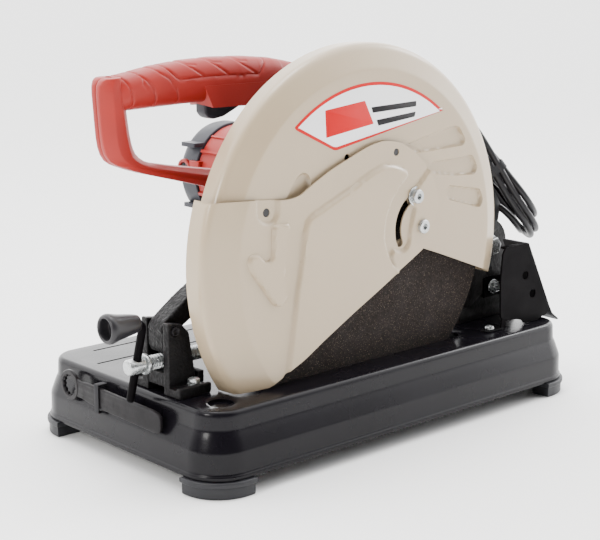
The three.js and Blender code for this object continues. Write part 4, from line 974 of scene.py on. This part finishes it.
nearp = smooth_poly([(160, 94), (158.6, 131), (161, 158), (165, 164.6), (203, 164.6), (243, 85.6), (238, 80.5), (229, 79.6), (224, 77.0), (216, 74.2), (207, 74.0), (200, 77.2), (196, 81.4), (188, 83.8), (167, 86), (161, 89)], 3)
nearp = [(x, max(z, 77.2)) for x, z in nearp]
dp = [plate("n", nearp, "XZ", -112, -110, holes=[circle(199.2, 130.1, 4.6, 28), circle(212.3, 108.3, 4.9, 28)], bevel=0.45)]
def flare():
    line_ = [(203.6, 164.6), (243.6, 88.6), (248.5, 80.6), (260.0, 72.2)]
    back = [(x_ - 1.9, z_ - 1.0) for x_, z_ in line_[::-1]]
    return plate("r1", line_ + back, "XZ", -111.8, -77, bevel=0.35)


def slant(za, zb, ya, yb, nm):
    return plate(nm, [(sx_at(za) - 2.3, za), (sx_at(za), za), (sx_at(zb), zb), (sx_at(zb) - 2.3, zb)], "XZ", ya, yb, bevel=0.35)
dp += [flare(),
       plate("t", [(165, 162.8), (203, 162.8), (203, 164.6), (165, 164.6)], "XZ", -111.6, -104.5, bevel=0.3),
       plate("tab2", [(224.3, 122), (226, 122), (237.4, 100), (235.6, 100)], "XZ", -78, -66.4, bevel=0.3), plate("tab", [(184, 100), (236.6, 100), (225.2, 122), (184, 122)], "XZ", -68.4, -66.4, holes=[circle(197.6, 111, 4.6, 24)], bevel=0.4),
       plate("ft", rrect(154, -106, 28, 11.6, 3), "XY", 76.8, 78.6, holes=[circle(150, -105.6, 4.4, 20)], bevel=0.4),
       plate("fu", [(161, 77.2), (168, 77.2), (171, 92), (164, 92)], "XZ", -111.6, -109.8, bevel=0.4)]
finish(join("spark_deflector_sheet", dp), "black", "base", ["spark_deflector"], smooth=False)
db = [plate("a", hexagon(11, 197.6, 111, 8), "XZ", -75, -70, bevel=0.9, res=3), lathe("b", [(0, -70.4), (7.6, -70.4), (7.9, -70), (7.9, -69.2), (7.5, -68.8), (0, -68.8)], "Y", (197.6, 111), 40),
      lathe("c", [(0, -69), (4, -69), (4, -46), (0, -46)], "Y", (197.6, 111), 24)]
finish(join("deflector_bolt_set", db), "zinc", "base", ["deflector_bolt"])
ds = lathe("deflector_screw_pan", [(0, 77), (3.8, 77), (3.8, 79.1), (4.9, 79.1), (4.9, 80.4), (4.2, 81.7), (2.8, 82.3), (0, 82.4)], "Z", (150, -105.6), 32)
finish(ds, "zinc", "base", ["deflector_screw"])

# ------------------------------------------------------------------ arm, spindle and motor
soften("arm_casting", width=1.3, segs=3, angle=40)
for n in ("spindle", "spindle_gear", "spindle_bearing_front", "spindle_bearing_rear", "armature_shaft", "armature_bearing_front", "cooling_fan", "armature_core", "stator", "brush_cap_front", "brush_cap_rear",
          "spindle_lock_button", "lock_on_button", "wheel_bolt"):
    soften(n, width=0.35, segs=2)
MX, MZ = -23.5, 240
sh = lathe("mh", [(46.5, -21.5), (54, -21.5), (54.6, -20.8), (54.6, -9.4), (53.6, -8.2), (51.4, -6.6), (50.4, -4), (50, 0), (50, 101.2), (49.4, 101.7), (46.5, 101.7)], "Y", (MX, MZ), 120)
vents = []
for a0 in (168, 180, 192, 8, -4, -16):
    a = math.radians(a0)
    for y0 in (18, 34):
        c = Vector((MX + 50 * math.cos(a), 0, MZ + 50 * math.sin(a)))
        v = block("v", -5, 5, y0, y0 + 11, -1.9, 1.9, bevel=0.8)
        v.data.transform(Matrix.Translation((-SX / 1000, 0, 0)))
        v.data.transform(Matrix.Translation(Vector(W(c.x, 0, c.z))) @ Matrix.Rotation(-a, 4, "Y"))
        vents.append(v)
sh = boolean(sh, [join("vent_cutters", vents)])
mp = [sh]
for a0, hgt, wd in ((150, 53.0, 2.0), (128, 51.4, 1.6), (200, 53.2, 2.2), (222, 52.4, 1.8), (30, 53.0, 2.0), (52, 51.4, 1.6), (-20, 53.2, 2.2)):
    a = math.radians(a0)
    q = [(47, -wd), (hgt, -wd * 0.7), (hgt, wd * 0.7), (47, wd)]
    mp.append(plate("rb", [(MX + u * math.cos(a) - v * math.sin(a), MZ + u * math.sin(a) + v * math.cos(a)) for u, v in q], "XZ", -4, 101.3, bevel=0.6))
for s in (-1, 1):
    x0, x1 = (MX - 53.6, MX - 44) if s < 0 else (MX + 44, MX + 53.6)
    pr = [(7.3, x0 + 0.4), (7.9, x0), (9.9, x0), (10.6, x0 + 0.7), (10.6, x1), (7.3, x1)] if s < 0 else [(7.3, x0), (10.6, x0), (10.6, x1 - 0.7), (9.9, x1), (7.9, x1), (7.3, x1 - 0.4)]
    mp.append(lathe("bb", pr, "X", (121, 246), 48))
    bx0, bx1 = (MX - 53, MX - 46) if s < 0 else (MX + 46, MX + 53)
    mp.append(plate("bl", [(96, 236), (112, 236), (112, 256), (96, 256)], "YZ", bx0, bx1, bevel=1.2, res=3))
finish(join("motor_shell", mp), "red", "arm", ["motor_housing"], angle=35)
cp = [lathe("c", [(45.5, 102.2), (51.6, 102.2), (52.4, 102.9), (52.4, 121.5), (51.4, 126.4), (48.8, 130.4), (45.2, 133.4), (40.8, 135.6), (36, 137), (30.6, 137.9), (24, 138), (23.4, 137.2), (22.6, 136.4), (0, 136.2), (0, 134), (34, 134), (42, 131), (45.5, 124)], "Y", (MX, MZ), 120)]
cuts = [block("s", -14, 14, 132, 140, dz - 1.7, dz + 1.7, bevel=0.6) for dz in (-15, -9, -3, 3, 9, 15)]
for c in cuts:
    c.data.transform(Matrix.Translation(Vector(W(MX, 0, MZ)) - Vector((SX / 1000, 0, 0))))
for s in (-1, 1):
    cuts.append(block("s", MX + 36.6 if s > 0 else MX - 56, MX + 56 if s > 0 else MX - 36.6, 98, 131.9, 234.6, 257.4, bevel=0.6))
cp[0] = boolean(cp[0], [join("cap_cutters", cuts)])
for x0, x1, z0 in ((MX - 53, MX - 36, 272), (MX - 51, MX - 40, 208.5), (MX + 38, MX + 52, 272), (MX + 40, MX + 50, 208.5)):
    cp.append(block("f", x0, x1, 102.4, 124.5, z0 - 2.2, z0 + 2.2, bevel=0.8))
finish(join("motor_cap", cp), "grey", "arm", ["motor_end_cap"], angle=35)
# ------------------------------------------------------------------ handle: two shells split at y = 0
def station(pts_top, pts_bot):
    def f(x):
        return np.interp(x, [p[0] for p in pts_top], [p[1] for p in pts_top]), np.interp(x, [p[0] for p in pts_bot], [p[1] for p in pts_bot])
    return f


HTOP = [(-262, 318), (-259, 326), (-252, 332), (-244, 334.6), (-230, 336.4), (-205, 338.4), (-180, 339.6), (-150, 340.8), (-128, 341), (-100, 340.6), (-70, 339.6), (-45, 338.8), (-10, 338.6), (10, 338.2), (20, 336.8), (25, 334.6), (28, 331)]
HBOT = [(-262, 311), (-259, 305), (-252, 301.6), (-244, 300.6), (-230, 301.0), (-205, 303.6), (-180, 306.4), (-150, 308.2), (-128, 309), (-100, 308.2), (-70, 306.4), (-45, 305.2), (-10, 305.2), (10, 305.6), (20, 307.2), (25, 309.6), (28, 313)]
HTOP = [(-264, 347.6), (-263.4, 350), (-262, 353), (-258, 356.2), (-252, 357.6), (-237, 359.2), (-204, 365), (-171, 368.6), (-136, 370.2), (-100, 369.4), (-69, 366.8), (-49, 363.2), (-34, 359.8), (-4, 351.8), (8, 345.4), (16, 340.6), (22, 335.2), (27, 329.6), (28, 326)]
HBOT = [(-264, 328.6), (-262.6, 326.4), (-258, 325.4), (-236, 327), (-205, 328), (-172, 329), (-143, 329), (-137, 324.5), (-131, 322), (-112, 331), (-94, 322.4), (-88, 330), (-64, 324), (-52, 312), (-44, 297), (-40, 290), (-34, 286), (-10, 284), (20, 284), (28, 286)]


GROOVES = [
    ([(-246.5, 362), (-244.1, 358.2), (-239.7, 351.2), (-236.4, 343.3), (-234.7, 335.4), (-234.5, 326)], 1.3),
    ([(-231, 363), (-227.5, 360.2), (-219.3, 353.0), (-213.5, 346.8), (-210.6, 337.8), (-209.1, 327)], 1.3),
    ([(-222.9, 356.4), (-223.5, 350.3), (-219.6, 346.2), (-213.5, 345.8)], 0.9),
    ([(-213.0, 366.5), (-203.4, 359.0), (-194.9, 353.6), (-187.7, 344.3), (-182.5, 330)], 1.3),
    ([(-201.5, 369.5), (-192.3, 359.4), (-187.5, 354.6), (-183.8, 352.6), (-164.8, 352.8), (-144.2, 353.0), (-117.7, 352.7), (-90.6, 352.3), (-84.4, 359.0), (-78.5, 368)], 1.5),
    ([(-184.1, 371.6), (-167.4, 361.3), (-154.7, 353.2)], 1.2), ([(-176.6, 367.9), (-171.4, 365.2), (-163.2, 364.6)], 0.9),
    ([(-155.8, 373.2), (-140.3, 363.2), (-125.4, 353.0)], 1.2), ([(-147.0, 368.9), (-141.6, 366.0), (-133.6, 365.6)], 0.9),
    ([(-125.7, 374.0), (-109.7, 363.2), (-91.6, 352.3)], 1.2), ([(-116.4, 369.4), (-110.7, 366.0), (-103.0, 365.6)], 0.9),
    ([(-46, 368), (-40, 345), (-36, 325), (-33, 300)], 1.2),
]


def grip_half(side, y_split):
    """one half of the grip as a lofted skin: superellipse sections along x, with the grip's grooves pressed in"""
    st = 0.95
    xs = np.concatenate([np.linspace(-249.5, -238, 16), np.arange(-237.2, 16, st), np.linspace(16.6, 28, 14)])
    n = 56
    zt = np.interp(xs, [p[0] for p in HTOP], [p[1] for p in HTOP])
    zb = np.interp(xs, [p[0] for p in HBOT], [p[1] for p in HBOT])
    zb = np.where((xs > -150) & (xs < -60), np.maximum(zb, 328.0 - np.clip((xs + 90) / 6, 0, 1) * 1.5), zb)
    c, h = (zt + zb) / 2, (zt - zb) / 2
    w = 16.8 * np.minimum(1.0, 0.74 + 0.26 * np.sqrt(np.clip((xs + 249.5) / 11, 0, 1)))
    t = math.pi * np.arange(n + 1) / n - math.pi / 2
    ex = 2.75 + 0.9 * np.clip((xs + 60) / 60, 0, 1)
    Y = w[:, None] * np.abs(np.cos(t))[None, :] ** (2 / ex[:, None])
    Zz = c[:, None] + h[:, None] * np.abs(np.sin(t))[None, :] ** (2 / ex[:, None]) * np.sign(np.sin(t))[None, :]
    X = np.repeat(xs[:, None], n + 1, 1)
    P = np.stack([X.ravel(), Zz.ravel()], 1)
    d = np.zeros(len(P))
    for line_, depth in GROOVES:
        d = np.maximum(d, 0.8 * depth * np.exp(-(dist(P, line_) / 0.8) ** 2))
    d = d.reshape(X.shape)
    R = np.hypot(Y, Zz - c[:, None])
    k = np.clip(1 - d / np.maximum(R, 6), 0, 1)
    Y, Zz = Y * k, c[:, None] + (Zz - c[:, None]) * k
    Y = np.maximum(Y, y_split)
    V_ = [(float(X[i, j]), side * float(Y[i, j]), float(Zz[i, j])) for i in range(len(xs)) for j in range(n + 1)]
    F_ = []
    for i in range(len(xs) - 1):
        for j in range(n):
            a = i * (n + 1) + j
            F_.append((a, a + 1, a + n + 2, a + n + 1))
        a, b = i * (n + 1), i * (n + 1) + n
        F_.append((a, a + n + 1, b + n + 1, b))
    F_.append(tuple(range(n + 1)))
    F_.append(tuple((len(xs) - 1) * (n + 1) + j for j in range(n + 1)))
    return raw("grip", V_, F_, merge=2e-5)


LOOP = [((-258.0, 356.4), (-243.0, 357.6)), ((-261.4, 354.0), (-240.6, 355.0)), ((-263.4, 350.0), (-239.4, 350.5)), ((-263.9, 344.0), (-238.2, 344.0)), ((-263.4, 333.0), (-236.4, 333.0)), ((-262.6, 320.0), (-234.6, 320.0)),
        ((-261.4, 305.0), (-232.4, 305.0)), ((-260.0, 296.0), (-230.8, 297.6)), ((-257.6, 289.0), (-229.2, 292.8)), ((-253.8, 283.4), (-227.0, 288.4)), ((-248.0, 279.6), (-223.6, 284.4)), ((-240.0, 276.4), (-219.0, 281.2)),
        ((-230.0, 272.8), (-213.4, 278.9)), ((-216.0, 268.4), (-205.0, 277.2)), ((-184.0, 260.0), (-180.0, 272.4)), ((-144.0, 249.2), (-140.4, 265.9)), ((-100.0, 238.2), (-97.0, 258.8)), ((-60.0, 228.0), (-58.0, 252.4))]


def loop_half(side):
    w = 15.0
    V_, F_ = [], []
    for O, I in LOOP:
        T = math.dist(O, I)
        ux, uz = (I[0] - O[0]) / T, (I[1] - O[1]) / T
        cc = min(9.2, 0.34 * T)
        for a, yy in ((0, 0.15), (0, w - cc), (cc, w), (T - cc, w), (T, w - cc), (T, 0.15)):
            V_.append((O[0] + ux * a, side * yy, O[1] + uz * a))
    for i in range(len(LOOP) - 1):
        for j in range(6):
            a, b = i * 6 + j, i * 6 + (j + 1) % 6
            F_.append((a, b, b + 6, a + 6))
    F_.append(tuple(range(6)))
    F_.append(tuple((len(LOOP) - 1) * 6 + j for j in range(6)))
    o = raw("loop", V_, F_)
    md_ = o.modifiers.new("ch", "BEVEL")
    md_.width, md_.segments, md_.limit_method, md_.angle_limit = 0.0008, 2, "ANGLE", math.radians(32)
    return apply_mods(o)


def hull_piece(name, pts):
    me_ = bpy.data.meshes.new(name)
    bm_ = bmesh.new()
    for p in pts:
        bm_.verts.new(W(*p))
    bmesh.ops.convex_hull(bm_, input=bm_.verts[:])
    bmesh.ops.recalc_face_normals(bm_, faces=bm_.faces)
    bm_.to_mesh(me_)
    bm_.free()
    return link_mesh(name, me_)


def handle_half(side):
    g = grip_half(side, 0.15)
    # switch housing with its prow, over the trigger
    q = side * 17.2
    prow = hull_piece("prow", [(-156.3, q, 345), (-146.4, q, 324.6), (-152.4, side * 0.15, 327.6), (-159, side * 0.15, 345), (-62, q, 345), (-62, q, 323.6), (-62, side * 0.15, 323.6), (-62, side * 0.15, 345)])
    ys = sorted((side * 0.15, side * 16.9))
    bridge = plate("bridge", smooth_poly([(-70, 318), (-60, 330), (-20, 334), (26, 318), (27, 285), (-38, 285), (-46, 300), (-54, 312)], 3), "XZ", ys[0], ys[1], bevel=0.5, res=2)
    body = boolean(g, [loop_half(side), prow, bridge], "UNION")
    room = plate("room", [(-149.8, 346), (-149.8, 306), (-118, 302), (-92, 323), (-85, 326), (-85, 340), (-92, 346)], "XZ", -8.6, 8.6, bevel=0.0)
    sad = [lathe("s1", [(0, -60), (54.9, -60), (54.9, -7.6), (0, -7.6)], "Y", (MX, MZ), 120), lathe("s2", [(0, -60), (52.7, -60), (52.7, 60), (0, 60)], "Y", (MX, MZ), 120), lathe("s3", [(0, 12), (7.7, 12), (7.7, 60), (0, 60)], "X", (0, 322), 40)]
    cut_ = [room] + sad
    if side > 0:
        cut_.append(lathe("s4", [(0, 7), (6.5, 7), (6.5, 30), (0, 30)], "Y", (-112, 346), 36))
    return boolean(body, cut_, "DIFFERENCE")


hr = handle_half(-1)
finish(hr, "red", "arm", ["handle_shell_right"], angle=38)
hl = handle_half(1)
finish(hl, "red", "arm", ["handle_shell_left"], angle=38)
finish(plate("trigger_blade", smooth_poly([(-148.2, 334), (-148.2, 319.2), (-144.5, 314.6), (-137.9, 312.6), (-125.9, 314.3), (-112.4, 320.2), (-100, 326.3), (-90, 329), (-87, 333), (-89, 337.2), (-144, 337.2)], 1.8), "XZ", -7.8, 7.8, bevel=2.4, res=4), "grey", "trigger_body", ["trigger"])

# ------------------------------------------------------------------ strain relief, cord, plug
sr = [(8.0, 20.8), (9.2, 20.8), (9.4, 22.4), (9.2, 24.4), (8.6, 25)]
x = 26.6
while x < 57.5:
    t = (x - 26) / 34
    r = 8.3 - 2.6 * t
    sr += [(r - 1.5, x), (r - 1.5, x + 1.1), (r, x + 1.5), (r, x + 2.9), (r - 0.4, x + 3.2)]
    x += 4.3
sr += [(5.2, 58.6), (5.1, 60.2), (4.7, 60.5), (3.85, 60.5), (3.85, 20.8)]
finish(lathe("strain_relief_sleeve", sr, "X", (0, 322), 48), "rubber", "arm", ["strain_relief"], angle=40)
# The folded hank lies in its own frame: s up along the hank, u across it, v through it.
LOW = Vector((277, -63, 160))
HA = Vector((-0.459, 0.393, 0.798)).normalized()
HW = Vector((-0.547, -0.837, 0.017))
HW = (HW - HA * HW.dot(HA)).normalized()
HN = HA.cross(HW)


def hank(s, u, v):
    p = LOW + HA * s + HW * u + HN * v
    return (p.x, p.y, p.z)


def sm(x):
    x = min(1.0, max(0.0, x))
    return x * x * (3 - 2 * x)


def hank_path(s1):
    """racetrack turns about a top centre at s1; returns points in (s, u, v)"""
    P = []
    laps = [(-8.2, 31.8), (0.0, 31.8), (8.2, 31.8), (0.0, 23.6), (-8.2, 23.6)]
    low_c = [34, 36, 50, 36]
    # join the top arc part way round, heading across to -u
    v0, r0 = laps[0]
    for a in range(74, 181, 8):
        t = math.radians(a)
        P.append((s1 + r0 * math.sin(t), r0 * math.cos(t), v0 - max(0, (90 - a)) * 0.12))
    cur_r, cur_v = r0, v0
    for k_ in range(4):
        nv, nr = laps[k_ + 1]
        s0 = low_c[k_] if k_ < len(low_c) else 36
        # down the -u side
        for i in range(1, 12):
            P.append((s1 + (s0 - s1) * i / 12, -cur_r, cur_v))
        # round the bottom
        for a in range(180, 361, 12):
            t = math.radians(a)
            P.append((s0 + cur_r * math.sin(t), cur_r * math.cos(t), cur_v))
        # up the +u side, moving over to the next lap
        for i in range(1, 12):
            f = i / 12
            if k_ == 2:
                fr, fv = sm(f / 0.5), sm((f - 0.5) / 0.5)
            elif k_ == 3:
                fr, fv = sm(f), sm(f / 0.6)
            else:
                fr, fv = sm(f), sm(f)
            P.append((s0 + (s1 - s0) * f, cur_r + (nr - cur_r) * fr, cur_v + (nv - cur_v) * fv))
        cur_r, cur_v = nr, nv
        for a in range(0, 181, 12):
            t = math.radians(a)
            P.append((s1 + cur_r * math.sin(t), cur_r * math.cos(t), cur_v))
    # last: down the -u side and out to the plug
    s0 = 36
    for i in range(1, 12):
        P.append((s1 + (s0 - s1) * i / 12, -cur_r, cur_v))
    for a in range(180, 351, 10):
        t = math.radians(a)
        P.append((s0 + cur_r * math.sin(t), cur_r * math.cos(t), cur_v - sm((a - 180) / 180) * 8.0))
    for i in range(0, 12):
        f = i / 11
        P.append((s0 + (98 - s0) * f, cur_r + (2 - cur_r) * sm(f), cur_v - 8.0 - (31.5 - 16.2) * sm(f)))
    return P


LEAD = [(61, 0, 321.8), (70, -0.2, 321), (84, -1, 317.6), (104, -2.4, 311), (124, -3.6, 305.4), (142, -3, 302.6), (158, -0.4, 303)]


def cord_points(s1):
    pts = catmull(LEAD + [hank(*p) for p in hank_path(s1)], 3.0)
    return [tuple(W(*p)) for p in pts]


def run(pts):
    return sum(math.dist(a, b) for a, b in zip(pts, pts[1:]))


def even(pts, step):
    total = run(pts)
    n = int(round(total / step))
    acc = [0.0]
    for a, b in zip(pts, pts[1:]):
        acc.append(acc[-1] + math.dist(a, b))
    at = np.linspace(0, total, n + 1)
    A = np.array(pts)
    return [tuple(float(np.interp(t, acc, A[:, k])) for k in range(3)) for t in at]


CORD_LENGTH = 2.0


def route(s1):
    p = even(cord_points(s1), 0.004)
    for _ in range(5):
        A = np.array(p)
        B = A.copy()
        B[2:-2] = 0.25 * A[1:-3] + 0.5 * A[2:-2] + 0.25 * A[3:-1]
        p = [tuple(q) for q in B]
    return p


lo_, hi_ = 120.0, 175.0
for _ in range(14):
    mid = (lo_ + hi_) / 2
    if run(route(mid)) < CORD_LENGTH:
        lo_ = mid
    else:
        hi_ = mid
path = route(mid)
A = np.array(path)
rads = []
for i in range(2, len(A) - 2):
    a, b, c = A[i - 2], A[i], A[i + 2]
    la, lb, lc = np.linalg.norm(b - a), np.linalg.norm(c - b), np.linalg.norm(c - a)
    area = np.linalg.norm(np.cross(b - a, c - a)) / 2
    rads.append((la * lb * lc / (4 * area) * 1000 if area > 1e-12 else 1e9, i))
print("cord top centre", round(mid, 2), "length", round(run(path), 4), "tightest bend mm", [(round(r, 1), i) for r, i in sorted(rads)[:5]])
gap = min((np.linalg.norm(A[i] - A[j]) * 1000, i, j) for i in range(len(A)) for j in range(i + 6, len(A)))
print("closest turns mm", gap)
cu = bpy.data.curves.new("power_lead", "CURVE")
cu.dimensions = "3D"
spl = cu.splines.new("POLY")
spl.points.add(len(path) - 1)
for i, p in enumerate(path):
    spl.points[i].co = (*p, 1)
cu.bevel_depth = 0.00375
cu.bevel_resolution = 6
cu.use_fill_caps = True
lead = bpy.data.objects.new("power_lead", cu)
bpy.context.scene.collection.objects.link(lead)
lead.data.materials.append(M["cord"])
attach(lead, "arm")
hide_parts("power_cord", "cord_hank")

# tie round the middle of the hank
tie = []
for sgn_u, sgn_v, a in ((1, 1, 0), (-1, 1, 90), (-1, -1, 180), (1, -1, 270)):
    for i in range(7):
        t = math.radians(a + 90 * i / 6)
        tie.append((sgn_u * 29.0 + 5.2 * math.cos(t), sgn_v * 6.6 + 5.2 * math.sin(t)))


def band(name, s_at, wid, loop, thick):
    V_, F_ = [], []
    m = len(loop)
    cen = (sum(p[0] for p in loop) / m, sum(p[1] for p in loop) / m)
    for ds, g in ((-wid / 2, 0), (wid / 2, 0), (wid / 2, thick), (-wid / 2, thick)):
        for u, v in loop:
            d = math.hypot(u - cen[0], v - cen[1])
            V_.append(hank(s_at + ds, u + (u - cen[0]) / d * g, v + (v - cen[1]) / d * g))
    for q in range(4):
        for i in range(m):
            a, b = q * m + i, q * m + (i + 1) % m
            c, d = ((q + 1) % 4) * m + (i + 1) % m, ((q + 1) % 4) * m + i
            F_.append((a, b, c, d))
    return raw(name, V_, F_)


finish(band("cord_tie", 92, 9.0, tie, 0.9), "rubber", "arm", [], angle=40)

# plug
PB = hank(128, 2, -31.5)
pm = Matrix(((HW.x, HA.x, -HN.x, 0), (HW.y, HA.y, -HN.y, 0), (HW.z, HA.z, -HN.z, 0), (0, 0, 0, 1)))


def plug_part(o):
    """from plug axes (u across, s along, depth) about the design origin to where the plug lies"""
    o.data.transform(Matrix.Translation((-SX / 1000, 0, 0)))
    o.data.transform(Matrix.Translation(Vector(W(*PB))) @ pm)
    return o


pp = [lathe("pa", [(0, 15), (17.6, 15), (18.5, 14.2), (18.5, 8.2), (18.0, 6.6), (16.6, 3.0), (14.2, -2.5), (12.4, -8.5), (11.2, -14.5), (9.4, -18.6), (7.4, -20.6), (0, -21)], "Y", (0, 0), 72,
             ridges=lambda t, a: 0.022 * math.cos(18 * t) if -13.5 < a < 5 else 0)]
tail = [(3.9, -29.8), (4.6, -29.8)]
for i in range(3):
    y = -28.6 + i * 3.2
    tail += [(4.7 + i * 0.4, y), (6.0 + i * 0.4, y + 0.3), (6.0 + i * 0.4, y + 1.7), (4.9 + i * 0.4, y + 2.0)]
tail += [(6.6, -19), (3.9, -19)]
pp.append(lathe("pt", tail, "Y", (0, 0), 32))
plug = plug_part(join("plug_body", pp))
finish(plug, "rubber", "arm", ["power_plug"], angle=45)
pins = [lathe("p1", [(0, 14.8), (2.4, 14.8), (2.4, 33), (1.6, 34.6), (0, 34.9)], "Y", (-9.5, 0), 24), lathe("p2", [(0, 14.8), (2.4, 14.8), (2.4, 33), (1.6, 34.6), (0, 34.9)], "Y", (9.5, 0), 24)]
plug_pins = finish(plug_part(join("plug_pins", pins)), "zinc", "arm", [], angle=40)

# ------------------------------------------------------------------ studio
floor_mat = bpy.data.materials.new("studio_floor")
floor_mat.use_nodes = True
fp = floor_mat.node_tree.nodes["Principled BSDF"]
fp.inputs["Base Color"].default_value = (0.91, 0.91, 0.905, 1)
fp.inputs["Roughness"].default_value = 0.9
fp.inputs["Specular IOR Level"].default_value = 0.1
me = bpy.data.meshes.new("studio_floor")
me.from_pydata([(-40, -40, 0), (40, -40, 0), (40, 40, 0), (-40, 40, 0)], [], [(0, 1, 2, 3)])
floor = bpy.data.objects.new("studio_floor", me)
bpy.context.scene.collection.objects.link(floor)
me.materials.append(floor_mat)

world = bpy.data.worlds.new("studio")
bpy.context.scene.world = world
world.use_nodes = True
bg = world.node_tree.nodes["Background"]
bg.inputs["Color"].default_value = (1.0, 1.0, 1.0, 1)
wn, wl = world.node_tree.nodes, world.node_tree.links
wtc = wn.new("ShaderNodeTexCoord")
wdot = wn.new("ShaderNodeVectorMath")
wdot.operation = "DOT_PRODUCT"
wl.new(wtc.outputs["Generated"], wdot.inputs[0])
wdot.inputs[1].default_value = (0.60, 0.66, 0.45)
wmap = wn.new("ShaderNodeMapRange")
wmap.interpolation_type = "SMOOTHSTEP"
wmap.inputs["From Min"].default_value = -0.35
wmap.inputs["From Max"].default_value = 0.55
wmap.inputs["To Min"].default_value = 0.06
wmap.inputs["To Max"].default_value = 5.0
wl.new(wdot.outputs["Value"], wmap.inputs["Value"])
wl.new(wmap.outputs["Result"], bg.inputs["Strength"])


def area(name, loc, target, size, power, col=(1, 1, 1), size_y=None):
    ld = bpy.data.lights.new(name, "AREA")
    ld.energy = power
    ld.color = col
    ld.size = size
    if size_y:
        ld.shape = "RECTANGLE"
        ld.size_y = size_y
    o = bpy.data.objects.new(name, ld)
    bpy.context.scene.collection.objects.link(o)
    o.location = loc
    d = Vector(target) - Vector(loc)
    o.rotation_euler = d.to_track_quat("-Z", "Y").to_euler()
    return o


area("left", (-1.8, -0.22, 1.0), (0, 0, 0.2), 0.5, 22, (1, 0.985, 0.96))
area("right", (1.75, -0.25, 1.30), (0, 0, 0.22), 0.5, 14, (0.97, 0.98, 1))
area("right_low", (1.9, -0.95, 0.42), (0, 0, 0.22), 0.9, 5, (0.97, 0.98, 1))
area("top", (0.0, 0.25, 2.1), (0, 0, 0.1), 0.8, 22, (1, 1, 1))
